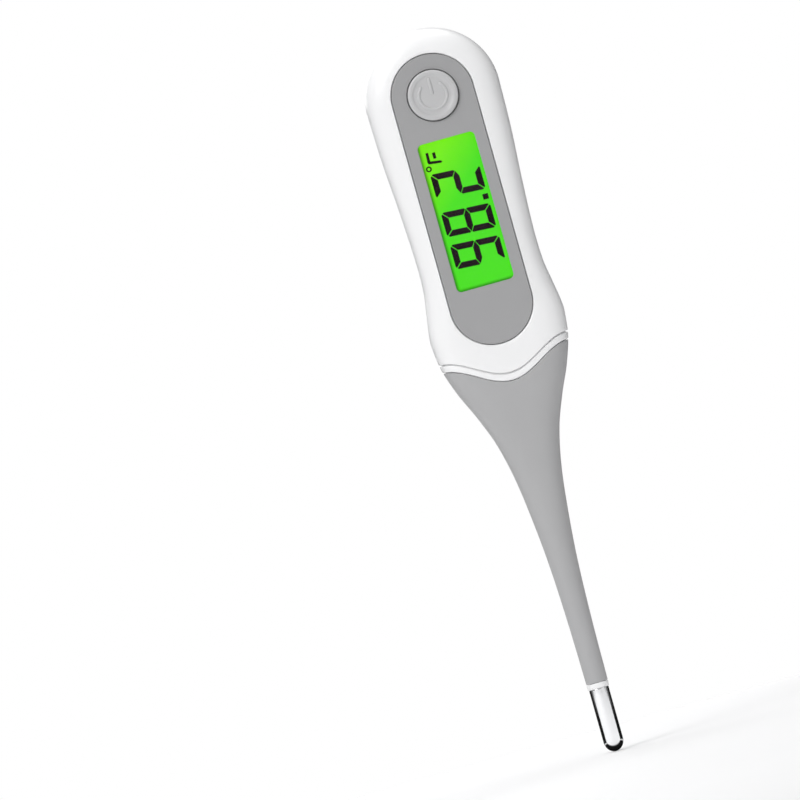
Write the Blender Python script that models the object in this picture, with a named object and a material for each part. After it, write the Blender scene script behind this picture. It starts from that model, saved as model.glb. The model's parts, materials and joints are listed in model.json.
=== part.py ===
"""A digital thermometer with a flexible probe, as an assembly of separate parts.

Heights are measured from the end of the steel tip, X is the width and the display faces -Y.
Everything hangs from one empty, whose place puts the world's origin at the grip.
"""

import math

import bmesh
import bpy
from mathutils import Vector

MM = 0.001

# Driving sizes
TIP_LENGTH = 12.05 * MM
TIP_RADIUS = 1.85 * MM
RING_HEIGHT = 1.05 * MM
RING_RADIUS = 2.03 * MM
STEM_LENGTH = 57.9 * MM
STEM_END_RADIUS = 2.05 * MM
BODY_LENGTH = 67.0 * MM
HEAD_RADIUS = 12.6 * MM
HALF_DEPTH = 7.0 * MM
LAND = 6.7 * MM
WALL = 1.3 * MM
RIM = 4.96 * MM
PANEL_LENGTH = 54.9 * MM
PANEL_THICKNESS = 0.8 * MM
FLOOR_THICKNESS = 0.75 * MM
DISPLAY_WIDTH = 10.86 * MM
DISPLAY_LENGTH = 28.1 * MM
BUTTON_RADIUS = 4.67 * MM
BUTTON_TRAVEL = 0.4 * MM
BATTERY_RADIUS = 10.0 * MM
BATTERY_THICKNESS = 3.2 * MM
BOARD_THICKNESS = 0.8 * MM
GLASS_THICKNESS = 0.7 * MM
GUIDE_THICKNESS = 1.1 * MM
SCREW_RADIUS = 1.0 * MM
SCREW_HEAD_RADIUS = 1.8 * MM
BOSS_WALL = 1.0 * MM
LEAD_RADIUS = 0.4 * MM
BEND_JOINTS = 8
BEND_PITCH = 3.0 * MM
LAST_BEND_ABOVE_RING = 7.4 * MM
CUP_ANGLE = math.radians(24)

# Clearances
GAP = 0.3 * MM
SEAM = 0.15 * MM
GROOVE = 0.4 * MM
LEAD_ROOM = 0.4 * MM
BOSS_ROOM = 0.38 * MM
EDGE = 0.15 * MM

# Collar: a white band between two waves, over a sleeve that joins shells and stem
BAND_HEIGHT = 1.3 * MM
WAVE_RISE = 4.6 * MM
WAVE_HALF_WIDTH = HEAD_RADIUS - 0.4 * MM
SLEEVE_WALL = 1.0 * MM
SLEEVE_BELOW = 6.0 * MM

# Heights above the end of the tip
RING_TOP = TIP_LENGTH + RING_HEIGHT
COLLAR_Z = RING_TOP + STEM_LENGTH
HEAD_Z = COLLAR_Z + BODY_LENGTH - HEAD_RADIUS
WAIST_Z = COLLAR_Z + 25.6 * MM
LENGTH = COLLAR_Z + BODY_LENGTH
BUTTON_Z = HEAD_Z
FIRST_BEND_Z = RING_TOP + LAST_BEND_ABOVE_RING + (BEND_JOINTS - 1) * BEND_PITCH

# Depths, from the face at -Y to the back
FACE_Y = -LAND + 0.1 * MM
PANEL_BACK = FACE_Y + PANEL_THICKNESS
FLOOR_FRONT = PANEL_BACK + GAP
FLOOR_BACK = FLOOR_FRONT + FLOOR_THICKNESS
FRONT_GLASS_Y = FLOOR_BACK + GAP
REAR_GLASS_Y = FRONT_GLASS_Y + GLASS_THICKNESS + GAP
GUIDE_Y = REAR_GLASS_Y + GLASS_THICKNESS + GAP
BOARD_Y = GUIDE_Y + GUIDE_THICKNESS + GAP
BOARD_BACK = BOARD_Y + BOARD_THICKNESS
TRAY_Y = BOARD_BACK + GAP
TRAY_FLOOR = 0.35 * MM
BATTERY_Y = TRAY_Y + TRAY_FLOOR + GAP
CAVITY_BACK = LAND - WALL

# Button and switch
FLANGE_WIDTH = 0.45 * MM
FLANGE_RADIUS = BUTTON_RADIUS + FLANGE_WIDTH
FLANGE_THICKNESS = 0.7 * MM
BUTTON_RIM_HEIGHT = 0.75 * MM
BUTTON_DISH_RADIUS = BUTTON_RADIUS - 1.15 * MM
SWITCH_HALF = 3.0 * MM
SWITCH_HEIGHT = 1.7 * MM
PLUNGER_RADIUS = 1.4 * MM

# Fasteners
BOSS_RADIUS = SCREW_RADIUS + GAP + BOSS_WALL
COUNTERBORE_RADIUS = SCREW_HEAD_RADIUS + GAP
HEAD_BOSS_RADIUS = COUNTERBORE_RADIUS + 0.8 * MM
BOSS_ROOT = 0.2 * MM
DOOR_SCREW_Z = BUTTON_Z + FLANGE_RADIUS + GAP + BOSS_RADIUS
CASE_SCREW_X = 6.0 * MM
SCREW_HEAD_HEIGHT = 1.1 * MM
DOOR_HEAD_Y = LAND - 0.2 * MM
CASE_HEAD_Y = LAND - 1.8 * MM
DOOR_SCREW_REACH = 6.4 * MM
CASE_SCREW_REACH = 7.4 * MM

# Battery
TRAY_WALL = 0.8 * MM
TRAY_RADIUS = BATTERY_RADIUS + GAP + TRAY_WALL
BATTERY_Z = DOOR_SCREW_Z - HEAD_BOSS_RADIUS - GAP - TRAY_RADIUS
TRAY_HALF_WIDTH = 8.4 * MM
TRAY_HEIGHT = 2.8 * MM
CONTACT_THICKNESS = 0.2 * MM
DOOR_Z = BATTERY_Z - TRAY_RADIUS - 2.2 * MM

# Display stack
FRAME_WALL = 0.7 * MM
GLASS_MARGIN = 1.1 * MM
LEDGE = 2.5 * MM
DISPLAY_HIGH = BUTTON_Z - FLANGE_RADIUS - 3.1 * MM
DISPLAY_LOW = DISPLAY_HIGH - DISPLAY_LENGTH
GLASS_HALF = DISPLAY_WIDTH / 2 + GLASS_MARGIN
GLASS_TOP = DISPLAY_HIGH + 1.7 * MM
REAR_GLASS_LOW = DISPLAY_LOW - 0.9 * MM
FRONT_GLASS_LOW = REAR_GLASS_LOW - LEDGE
CASE_SCREW_Z = FRONT_GLASS_LOW - GAP - FRAME_WALL - BOSS_ROOM - BOSS_RADIUS
LED_HEIGHT = 1.1 * MM
BOARD_HALF = 8.4 * MM
BOARD_LOW = CASE_SCREW_Z + BOSS_RADIUS + GAP
BOARD_TOP = DOOR_SCREW_Z - BOSS_RADIUS - GAP
BOARD_CORNER = 2.0 * MM

# Parts on the board, and the contacts
BUZZER_Z = DOOR_Z - 5.4 * MM
CONTROLLER_Z = BOARD_LOW + 6.6 * MM
CHIP = (0.8 * MM, 0.6 * MM, 0.5 * MM)
CONTACT_HALF = 2.8 * MM
CONTACT_FOOT = 2.2 * MM

# Face: panel, window and button
PANEL_HALF = HEAD_RADIUS - RIM
PANEL_HIGH = HEAD_Z + PANEL_HALF
PANEL_LOW = PANEL_HIGH - PANEL_LENGTH
CORNER = 0.7 * MM
LENS_MARGIN = 0.6 * MM
DISPLAY_X = (-DISPLAY_WIDTH / 2, DISPLAY_WIDTH / 2)
DISPLAY_Z = (DISPLAY_LOW, DISPLAY_HIGH)
LENS_X = (DISPLAY_X[0] - LENS_MARGIN, DISPLAY_X[1] + LENS_MARGIN)
LENS_Z = (DISPLAY_LOW - LENS_MARGIN, DISPLAY_HIGH + LENS_MARGIN)
BUTTON_DISH = 0.25 * MM

# Door and seal
DOOR_POST_Y = 1.6 * MM
GRIP_GROOVES = 5
GRIP_PITCH = 1.1 * MM
GRIP_DEPTH = 0.35 * MM
SEAL_Y = (-1.5 * MM, -0.5 * MM)
SEAL_WIDTH = 0.7 * MM

# The neck of the tip, held in the end of the stem
NECK_RADIUS = 1.3 * MM
NECK_LENGTH = 3.4 * MM
TIP_WALL = 0.3 * MM
BEAD_RADIUS = 0.8 * MM
BEAD_TOP = 3.4 * MM

# Pieces with so many bosses and holes that the exact solver leaves edges open
HOLLOWED = ["front_shell", "back_shell", "battery_door", "battery_tray", "face_panel"]

FORM_SIDES = 28
STEM_SIDES = 16
RING_STEP = 4.4 * MM
FAR = 30 * MM

# Half widths and half depths of the outer form, bottom to top: height, width, depth
STEM_FORM = [
    (0.00, STEM_END_RADIUS, STEM_END_RADIUS),
    (0.20, STEM_END_RADIUS + 0.18 * MM, STEM_END_RADIUS + 0.18 * MM),
    (0.40, STEM_END_RADIUS + 0.64 * MM, STEM_END_RADIUS + 0.64 * MM),
    (0.56, STEM_END_RADIUS + 1.43 * MM, STEM_END_RADIUS + 1.36 * MM),
    (0.70, HEAD_RADIUS - 8.08 * MM, HALF_DEPTH - 2.9 * MM),
    (0.82, HEAD_RADIUS - 6.50 * MM, HALF_DEPTH - 2.0 * MM),
    (0.92, HEAD_RADIUS - 4.30 * MM, HALF_DEPTH - 1.15 * MM),
]
BODY_FORM = [
    (0.0 * MM, HEAD_RADIUS - 2.21 * MM, HALF_DEPTH - 0.55 * MM),
    (5.0 * MM, HEAD_RADIUS - 0.52 * MM, HALF_DEPTH - 0.15 * MM),
    (8.5 * MM, HEAD_RADIUS, HALF_DEPTH),
    (11.0 * MM, HEAD_RADIUS + 0.12 * MM, HALF_DEPTH),
    (16.0 * MM, HEAD_RADIUS - 0.60 * MM, HALF_DEPTH),
    (20.0 * MM, HEAD_RADIUS - 1.18 * MM, HALF_DEPTH),
    (25.6 * MM, HEAD_RADIUS - 1.30 * MM, HALF_DEPTH),
    (36.0 * MM, HEAD_RADIUS - 0.84 * MM, HALF_DEPTH),
    (45.0 * MM, HEAD_RADIUS - 0.27 * MM, HALF_DEPTH),
]
FORM = [(RING_TOP + share * STEM_LENGTH, w, d) for share, w, d in STEM_FORM]
FORM += [(COLLAR_Z + up, w, d) for up, w, d in BODY_FORM]
FORM += [(HEAD_Z, HEAD_RADIUS, HALF_DEPTH)]
ROUND_TOP = RING_TOP + 0.45 * STEM_LENGTH
SQUARE_FROM = COLLAR_Z + 10.0 * MM
BODY_POWER = 4.0


# The outer form


def curve_through(points, column, z):
    """A smooth curve through the given column of FORM, at height z."""
    if z <= points[0][0]:
        return points[0][column]
    if z >= points[-1][0]:
        return points[-1][column]
    i = max(k for k in range(len(points) - 1) if points[k][0] <= z)
    before, low = points[max(i - 1, 0)], points[i]
    high, after = points[i + 1], points[min(i + 2, len(points) - 1)]
    span = high[0] - low[0]
    slope_low = (high[column] - before[column]) / (high[0] - before[0])
    slope_high = (after[column] - low[column]) / (after[0] - low[0])
    t = (z - low[0]) / span
    h = t * t * (3 - 2 * t)
    return (
        (1 - h) * low[column]
        + h * high[column]
        + t * (1 - t) * span * ((1 - t) * slope_low - t * slope_high)
    )


def half_width(z):
    if z <= HEAD_Z:
        return curve_through(FORM, 1, z)
    return math.sqrt(max(HEAD_RADIUS**2 - (z - HEAD_Z) ** 2, 0))


def section_power(z):
    """2 on the round stem, rising smoothly to a squarer section on the body."""
    t = min(max((z - ROUND_TOP) / (SQUARE_FROM - ROUND_TOP), 0), 1)
    return 2 + (BODY_POWER - 2) * t * t * (3 - 2 * t)


def form_ring(z, inset, front, back):
    """One cross-section of the outer form, moved in by inset and cut flat at front and back."""
    power = section_power(z)
    above = max(z - HEAD_Z, 0)
    reach = (HEAD_RADIUS if above else half_width(z)) - inset
    depth = curve_through(FORM, 2, z) - inset
    width = math.sqrt(max(reach**2 - above**2, 0))
    ring = []
    for k in range(FORM_SIDES):
        c = math.cos(2 * math.pi * k / FORM_SIDES)
        s = math.sin(2 * math.pi * k / FORM_SIDES)
        x = math.copysign(width * abs(c) ** (2 / power), c)
        rest = 1 - ((x * x + above * above) / reach**2) ** (power / 2)
        y = math.copysign(depth * max(rest, 0) ** (1 / power), s)
        ring.append(Vector((x, min(max(y, front), back), z)))
    return ring


def form_heights(low, high, inset):
    """Heights of the sections from low to high; over the head they follow its round end."""
    straight = min(high, HEAD_Z)
    count = max(round((straight - low) / RING_STEP), 1)
    heights = [low + (straight - low) * k / count for k in range(count + 1)]
    if high > HEAD_Z:
        turns = [12, 24, 36, 48, 60, 70, 79, 86]
        reach = HEAD_RADIUS - inset
        heights += [HEAD_Z + reach * math.sin(math.radians(a)) for a in turns]
    return heights


# Building


def material(name, colour, roughness, metallic=0.0, alpha=1.0):
    made = bpy.data.materials.new(name)
    made.use_nodes = True
    shader = made.node_tree.nodes["Principled BSDF"]
    shader.inputs["Base Color"].default_value = (*colour, 1.0)
    shader.inputs["Roughness"].default_value = roughness
    shader.inputs["Metallic"].default_value = metallic
    shader.inputs["Alpha"].default_value = alpha
    made.diffuse_color = (*colour, alpha)
    return made


def add(name, mesh, finish=None):
    """A new object of the mesh; one with no finish is a cutter."""
    obj = bpy.data.objects.new(name, mesh)
    bpy.context.scene.collection.objects.link(obj)
    obj.parent = BASE
    if finish:
        obj.data.materials.append(finish)
    else:
        obj.hide_render = True
        obj.display_type = "WIRE"
    return obj


def finish_mesh(name, bm, smooth):
    bmesh.ops.recalc_face_normals(bm, faces=bm.faces)
    mesh = bpy.data.meshes.new(name)
    bm.to_mesh(mesh)
    bm.free()
    if smooth:
        mesh.shade_smooth()
        mesh.set_sharp_from_angle(angle=math.radians(40))
    return mesh


def loft(name, rings, finish=None):
    """A closed solid through rings of equal count, capped at both ends."""
    bm = bmesh.new()
    made = [[bm.verts.new(point) for point in ring] for ring in rings]
    count = len(rings[0])
    for low, high in zip(made, made[1:]):
        for k in range(count):
            n = (k + 1) % count
            bm.faces.new((low[k], low[n], high[n], high[k]))
    bm.faces.new(made[0])
    bm.faces.new(made[-1])
    return add(name, finish_mesh(name, bm, True), finish)


def form(name, low, high, inset, finish=None, front=-LAND, back=LAND):
    heights = form_heights(low, high, inset)
    rings = [form_ring(z, inset, front, back) for z in heights]
    return loft(name, rings, finish)


def prism(name, outline, near, far, finish=None, bevel=0, sideways=False):
    """An outline of (x, z) drawn out along Y; or sideways, one of (y, z) drawn out along X."""
    bm = bmesh.new()
    points = [(near, u, v) if sideways else (u, near, v) for u, v in outline]
    face = bm.faces.new([bm.verts.new(point) for point in points])
    pushed = bmesh.ops.extrude_face_region(bm, geom=[face])["geom"]
    moved = [v for v in pushed if isinstance(v, bmesh.types.BMVert)]
    step = (far - near, 0, 0) if sideways else (0, far - near, 0)
    bmesh.ops.translate(bm, vec=step, verts=moved)
    obj = add(name, finish_mesh(name, bm, False), finish)
    if bevel:
        edge = obj.modifiers.new("edge", "BEVEL")
        edge.width = bevel
        edge.segments = 1
        edge.limit_method = "ANGLE"
        edge.angle_limit = math.radians(50)
    return obj


def block(name, x, y, z, finish=None, bevel=0):
    """A box from pairs of limits."""
    outline = [(x[0], z[0]), (x[1], z[0]), (x[1], z[1]), (x[0], z[1])]
    return prism(name, outline, y[0], y[1], finish, bevel)


def turned(name, profile, finish=None, sides=20):
    """A profile of (radius, height), turned round Z; its outer side runs downwards."""
    mesh = bpy.data.meshes.new(name)
    count = len(profile)
    closed = profile[0][0] > 0 or profile[-1][0] > 0
    edges = [(k, k + 1) for k in range(count - 1)] + [(count - 1, 0)] * closed
    mesh.from_pydata([(r, 0, h) for r, h in profile], edges, [])
    obj = add(name, mesh, finish)
    screw = obj.modifiers.new("turn", "SCREW")
    screw.steps = screw.render_steps = sides
    screw.use_merge_vertices = True
    screw.merge_threshold = 1e-6
    screw.use_smooth_shade = True
    return obj


def across(obj, x, z, towards=-1):
    """Turns a piece made along Z so that it points along -Y, or +Y, and puts it at x and z."""
    obj.rotation_euler = (-towards * math.pi / 2, 0, 0)
    obj.location = (x, 0, z)
    return obj


def rod(name, radius, low, high, finish=None, sides=16):
    profile = [(0, high), (radius, high), (radius, low), (0, low)]
    return turned(name, profile, finish, sides)


def pipe(name, outer, inner, low, high, finish=None, sides=16):
    profile = [(outer, high), (outer, low), (inner, low), (inner, high)]
    return turned(name, profile, finish, sides)


def change(obj, operation, *others):
    for other in others:
        step = obj.modifiers.new(f"{operation.lower()} {other.name}", "BOOLEAN")
        step.operation = operation
        step.object = other
        step.solver = "MANIFOLD" if obj.name in HOLLOWED else "EXACT"
    return obj


def cut(obj, *others):
    return change(obj, "DIFFERENCE", *others)


def keep(obj, *others):
    return change(obj, "INTERSECT", *others)


def join(obj, *others):
    return change(obj, "UNION", *others)


def axis_at(name, place, parent=None):
    """An empty on a joint's axis; place is measured from the end of the tip."""
    pivot = bpy.data.objects.new(name, None)
    bpy.context.scene.collection.objects.link(pivot)
    pivot.empty_display_size = 2 * MM
    PLACES[name] = Vector(place)
    pivot.parent = parent or BASE
    pivot.location = PLACES[name] - (PLACES[parent.name] if parent else Vector())
    return pivot


def hang(pivot, *pieces):
    """Parents pieces to a joint's empty and leaves them where they are."""
    for piece in pieces:
        piece.parent = pivot
        piece.location = piece.location - PLACES[pivot.name]


def arc(x, z, radius, start, end, steps):
    return [
        (
            x + radius * math.cos(math.radians(start + (end - start) * k / steps)),
            z + radius * math.sin(math.radians(start + (end - start) * k / steps)),
        )
        for k in range(steps + 1)
    ]


def stadium(half, low, high, steps=12):
    """A long outline with half-round ends, from low to high."""
    top = arc(0, high - half, half, 0, 180, steps)
    return top + arc(0, low + half, half, 180, 360, steps)


def rounded(x, z, radius, steps=4):
    """A rectangle from pairs of limits, with rounded corners."""
    corners = [(x[1], z[1], 0), (x[0], z[1], 90), (x[0], z[0], 180), (x[1], z[0], 270)]
    outline = []
    for cx, cz, start in corners:
        inner_x = cx - math.copysign(radius, cx - sum(x) / 2)
        inner_z = cz - math.copysign(radius, cz - sum(z) / 2)
        outline += arc(inner_x, inner_z, radius, start, start + 90, steps)
    return outline


def wave(base, steps=12):
    """The seam's wave across the body: lowest at the middle, level beyond its ends."""
    points = [(-FAR, base + WAVE_RISE)]
    for k in range(steps + 1):
        x = WAVE_HALF_WIDTH * (2 * k / steps - 1)
        rise = (1 - math.cos(math.pi * x / WAVE_HALF_WIDTH)) / 2
        points.append((x, base + WAVE_RISE * rise))
    return points + [(FAR, base + WAVE_RISE)]


# The pieces


def screw_hole(x, z, tip, name):
    return across(rod(name, SCREW_RADIUS + GAP, tip - GAP, FAR), x, z, 1)


def counterbore(x, z, head, name):
    low = head - SCREW_HEAD_HEIGHT - GAP
    return across(rod(name, COUNTERBORE_RADIUS, low, FAR), x, z, 1)


def boss(x, z, radius, low, high, name):
    return across(rod(name, radius, low, high), x, z, 1)


def build_screw(name, x, z, head, reach):
    """A pan-head screw with a cross recess, its outer face at depth head."""
    low = head - SCREW_HEAD_HEIGHT
    profile = [
        (0, head),
        (SCREW_HEAD_RADIUS * 0.7, head),
        (SCREW_HEAD_RADIUS, head - 0.35 * MM),
        (SCREW_HEAD_RADIUS, low),
        (SCREW_RADIUS, low),
        (SCREW_RADIUS, low - reach + 0.4 * MM),
        (SCREW_RADIUS * 0.6, low - reach),
        (0, low - reach),
    ]
    screw = across(turned(name, profile, STEEL, 16), x, z, 1)
    half, deep = 0.2 * MM, head - 0.6 * MM
    for k in range(2):
        arm = 1.05 * MM
        wide, tall = (arm, half) if k else (half, arm)
        limits = (x - wide, x + wide), (deep, FAR), (z - tall, z + tall)
        cut(screw, block(f"{name}_recess_{k}", *limits))
    return screw


def build_shells():
    cavity_low = COLLAR_Z - 9 * MM
    shape = dict(front=FLOOR_BACK, back=CAVITY_BACK)
    cavity = form("cavity_cutter", cavity_low, LENGTH, WALL, **shape)
    seam = wave(COLLAR_Z + BAND_HEIGHT + GROOVE)
    above = [(FAR, LENGTH + FAR), (-FAR, LENGTH + FAR)]
    below_door = [(FAR, DOOR_Z - SEAM), (-FAR, DOOR_Z - SEAM)]
    from_door = [(-FAR, DOOR_Z + SEAM), (FAR, DOOR_Z + SEAM)]
    front_zone = prism("front_zone", seam + above, -FAR, -SEAM)
    back_zone = prism("back_zone", seam + below_door, SEAM, FAR)
    door_zone = prism("door_zone", from_door + above, SEAM, FAR)

    front = form("front_shell", COLLAR_Z - 3 * MM, LENGTH, 0, WHITE)
    cut(keep(front, front_zone), cavity)
    case_tip = CASE_HEAD_Y - SCREW_HEAD_HEIGHT - CASE_SCREW_REACH
    door_tip = DOOR_HEAD_Y - SCREW_HEAD_HEIGHT - DOOR_SCREW_REACH
    root = FLOOR_BACK - BOSS_ROOT
    screws = [("left", -CASE_SCREW_X), ("right", CASE_SCREW_X)]
    for side, x in screws:
        post = boss(x, CASE_SCREW_Z, BOSS_RADIUS, root, -SEAM * 2, f"front_boss_{side}")
        join(front, post)
        cut(front, screw_hole(x, CASE_SCREW_Z, case_tip, f"front_hole_{side}"))
    join(front, boss(0, DOOR_SCREW_Z, BOSS_RADIUS, root, DOOR_POST_Y, "front_boss_door"))
    cut(front, screw_hole(0, DOOR_SCREW_Z, door_tip, "front_hole_door"))
    pocket = stadium(PANEL_HALF + GAP, PANEL_LOW - GAP, PANEL_HIGH + GAP)
    cut(front, prism("panel_pocket", pocket, -FAR, FLOOR_FRONT))
    opening = rounded(*grown(LENS_X, LENS_Z, GAP), CORNER + GAP)
    cut(front, prism("lens_opening", opening, -FAR, FAR / 10))
    hole = rod("button_opening", BUTTON_RADIUS + GAP, -FLOOR_BACK - MM, FAR, sides=28)
    cut(front, across(hole, 0, BUTTON_Z))

    # A wide button pushes the door's post outwards: it's cut back where the seal passes
    span = dict(front=SEAL_Y[0] - SEAM, back=SEAL_Y[1] + SEAM)
    room = form("seal_room", BOARD_LOW, LENGTH, WALL + SEAM, **span)
    cut(room, form("seal_room_core", BOARD_LOW - 3 * MM, LENGTH, WALL + GAP + SEAL_WIDTH + SEAM))
    cut(front, room)

    back = form("back_shell", COLLAR_Z - 3 * MM, DOOR_Z + 5 * MM, 0, WHITE)
    cut(keep(back, back_zone), cavity)
    for side, x in screws:
        top = CAVITY_BACK + BOSS_ROOT
        post = boss(x, CASE_SCREW_Z, HEAD_BOSS_RADIUS, SEAM, top, f"back_boss_{side}")
        join(back, post)
        cut(back, screw_hole(x, CASE_SCREW_Z, case_tip, f"back_hole_{side}"))
        cut(back, counterbore(x, CASE_SCREW_Z, CASE_HEAD_Y, f"counterbore_{side}"))
        build_screw(f"case_screw_{side}", x, CASE_SCREW_Z, CASE_HEAD_Y, CASE_SCREW_REACH)

    door = form("battery_door", DOOR_Z - 5 * MM, LENGTH, 0, WHITE)
    cut(keep(door, door_zone), cavity)
    top = CAVITY_BACK + BOSS_ROOT / 2
    low = DOOR_POST_Y + GAP
    join(door, boss(0, DOOR_SCREW_Z, HEAD_BOSS_RADIUS, low, top, "door_boss"))
    cut(door, screw_hole(0, DOOR_SCREW_Z, door_tip, "door_hole"))
    cut(door, counterbore(0, DOOR_SCREW_Z, DOOR_HEAD_Y, "door_counterbore"))
    for k in range(GRIP_GROOVES):
        z = DOOR_Z + 3 * MM + k * GRIP_PITCH
        limits = (-5 * MM, 5 * MM), (LAND - GRIP_DEPTH, FAR), (z, z + GRIP_PITCH / 2)
        cut(door, block(f"grip_groove_{k}", *limits))
    screw = build_screw("door_screw", 0, DOOR_SCREW_Z, DOOR_HEAD_Y, DOOR_SCREW_REACH)
    door_axis = axis_at("door_axis", (0, LAND, BATTERY_Z))
    hang(door_axis, door)
    hang(axis_at("door_screw_axis", (0, LAND, DOOR_SCREW_Z), door_axis), screw)

    seal_low = BOARD_LOW
    inset = WALL + GAP
    seal = form("case_seal", seal_low, LENGTH, inset, RUBBER, front=SEAL_Y[0], back=SEAL_Y[1])
    inside = form("seal_cutter", seal_low - 3 * MM, LENGTH, inset + SEAL_WIDTH, None)
    cut(seal, inside)


def build_collar():
    """The white band and, in one piece with it, the sleeve that both shells and stem fit over."""
    low, high = COLLAR_Z - SLEEVE_BELOW, CASE_SCREW_Z - HEAD_BOSS_RADIUS - GAP
    inset = WALL + GAP
    depth = dict(front=FLOOR_BACK + GAP, back=CAVITY_BACK - GAP)
    core = dict(front=FLOOR_BACK + GAP + SLEEVE_WALL, back=CAVITY_BACK - GAP - SLEEVE_WALL)
    band = form("collar_ring", low - MM, high + MM, 0, WHITE)
    edge = wave(COLLAR_Z + SEAM) + wave(COLLAR_Z + BAND_HEIGHT)[::-1]
    keep(band, prism("band_zone", edge, -FAR, FAR))
    join(band, form("collar_sleeve", low, high, inset, **depth))
    cut(band, form("collar_core", low - MM, high + MM, inset + SLEEVE_WALL, **core))


def build_face():
    panel = prism(
        "face_panel", stadium(PANEL_HALF, PANEL_LOW, PANEL_HIGH), FACE_Y, PANEL_BACK, GREY, EDGE
    )
    cut(panel, prism("window_opening", rounded(DISPLAY_X, DISPLAY_Z, CORNER), -FAR, FAR))
    hole = rod("panel_hole", BUTTON_RADIUS + GAP, -FAR, FAR, sides=28)
    cut(panel, across(hole, 0, BUTTON_Z))
    prism("display_window", rounded(LENS_X, LENS_Z, CORNER), FLOOR_FRONT, FLOOR_BACK, CLEAR)

    rim = -FACE_Y + BUTTON_RIM_HEIGHT
    flange = -(FLOOR_BACK + GAP)
    profile = [
        (0, rim - BUTTON_DISH),
        (BUTTON_DISH_RADIUS, rim - BUTTON_DISH),
        (BUTTON_DISH_RADIUS + BUTTON_DISH, rim),
        (BUTTON_RADIUS - EDGE * 2, rim),
        (BUTTON_RADIUS, rim - EDGE * 2),
        (BUTTON_RADIUS, flange),
        (FLANGE_RADIUS, flange),
        (FLANGE_RADIUS, flange - FLANGE_THICKNESS),
        (0, flange - FLANGE_THICKNESS),
    ]
    cap = across(turned("button_cap", profile, LIGHT_GREY, 28), 0, BUTTON_Z)
    switch_top = -BOARD_Y + GAP + SWITCH_HEIGHT
    well = switch_top - 1.1 * MM
    sides = [
        (-SWITCH_HALF, SWITCH_HALF),
        (-switch_top, -(-BOARD_Y + GAP)),
        (BUTTON_Z - SWITCH_HALF, BUTTON_Z + SWITCH_HALF),
    ]
    switch = block("tactile_switch", *sides, BLACK, EDGE)
    bore = rod("switch_bore", PLUNGER_RADIUS + GAP, well, FAR)
    cut(switch, across(bore, 0, BUTTON_Z))
    reach = flange - FLANGE_THICKNESS - GAP
    low = well + GAP + BUTTON_TRAVEL
    plunger = across(rod("switch_plunger", PLUNGER_RADIUS, low, reach, RED), 0, BUTTON_Z)
    hang(axis_at("button_axis", (0, FACE_Y, BUTTON_Z)), cap, plunger)


def build_display():
    half = (-GLASS_HALF, GLASS_HALF)
    front = (FRONT_GLASS_Y, FRONT_GLASS_Y + GLASS_THICKNESS)
    rear = (REAR_GLASS_Y, REAR_GLASS_Y + GLASS_THICKNESS)
    guide = (GUIDE_Y, GUIDE_Y + GUIDE_THICKNESS)
    lit_top = GLASS_TOP - LED_HEIGHT - GAP
    block("lcd_front_glass", half, front, (FRONT_GLASS_LOW, GLASS_TOP), LCD)
    block("lcd_rear_glass", half, rear, (REAR_GLASS_LOW, GLASS_TOP), LCD)
    block("light_guide", half, guide, (REAR_GLASS_LOW, lit_top), CLEAR)
    for name, x in (("left", -4 * MM), ("middle", 0), ("right", 4 * MM)):
        led = (x - MM, x + MM)
        block(f"backlight_led_{name}", led, guide, (lit_top + GAP, GLASS_TOP), YELLOW)
    strip = (front[1] + GAP, guide[1])
    ends = (FRONT_GLASS_LOW + GAP, REAR_GLASS_LOW - GAP)
    block("elastomer_connector", (-5.2 * MM, 5.2 * MM), strip, ends, RUBBER)
    depth = (FRONT_GLASS_Y, guide[1])
    height = (FRONT_GLASS_LOW, GLASS_TOP)
    outer = block("lcd_frame", *frame_box(half, height, GAP + FRAME_WALL, depth), WHITE)
    wide = (-FAR, FAR)
    cut(outer, block("lcd_frame_inside", *frame_box(half, height, GAP, wide)))


def frame_box(x, z, by, y):
    x, z = grown(x, z, by)
    return x, y, z


def grown(x, z, by):
    """The same limits moved out by a clearance on all four sides."""
    return (x[0] - by, x[1] + by), (z[0] - by, z[1] + by)


def build_electronics():
    outline = rounded((-BOARD_HALF, BOARD_HALF), (BOARD_LOW, BOARD_TOP), BOARD_CORNER, 5)
    prism("circuit_board", outline, BOARD_Y, BOARD_BACK, GREEN)
    base = BOARD_BACK + GAP
    profile = [(0, 0.9), (0.7, 0.9), (0.7, 1.6), (4.0, 1.6), (4.3, 1.3), (4.3, 0), (0, 0)]
    buzzer = [(r * MM, base + h * MM) for r, h in profile]
    across(turned("buzzer", buzzer, BLACK), 0, BUZZER_Z, 1)
    dome = [(0, 1.1), (1.3, 1.0), (2.3, 0.65), (3.0, 0), (0, 0)]
    blob = [(r * MM, base + h * MM) for r, h in dome]
    across(turned("controller_blob", blob, BLACK), 0, CONTROLLER_Z, 1)
    chips = [
        ("chip_resistor_left", -6.2 * MM, CONTROLLER_Z, BLACK),
        ("chip_resistor_right", 6.2 * MM, CONTROLLER_Z, BLACK),
        ("chip_capacitor", 6.2 * MM, BUZZER_Z, TAN),
    ]
    for name, x, z, finish in chips:
        sides = (x - CHIP[0], x + CHIP[0]), (base, base + CHIP[1]), (z - CHIP[2], z + CHIP[2])
        block(name, *sides, finish)


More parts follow.
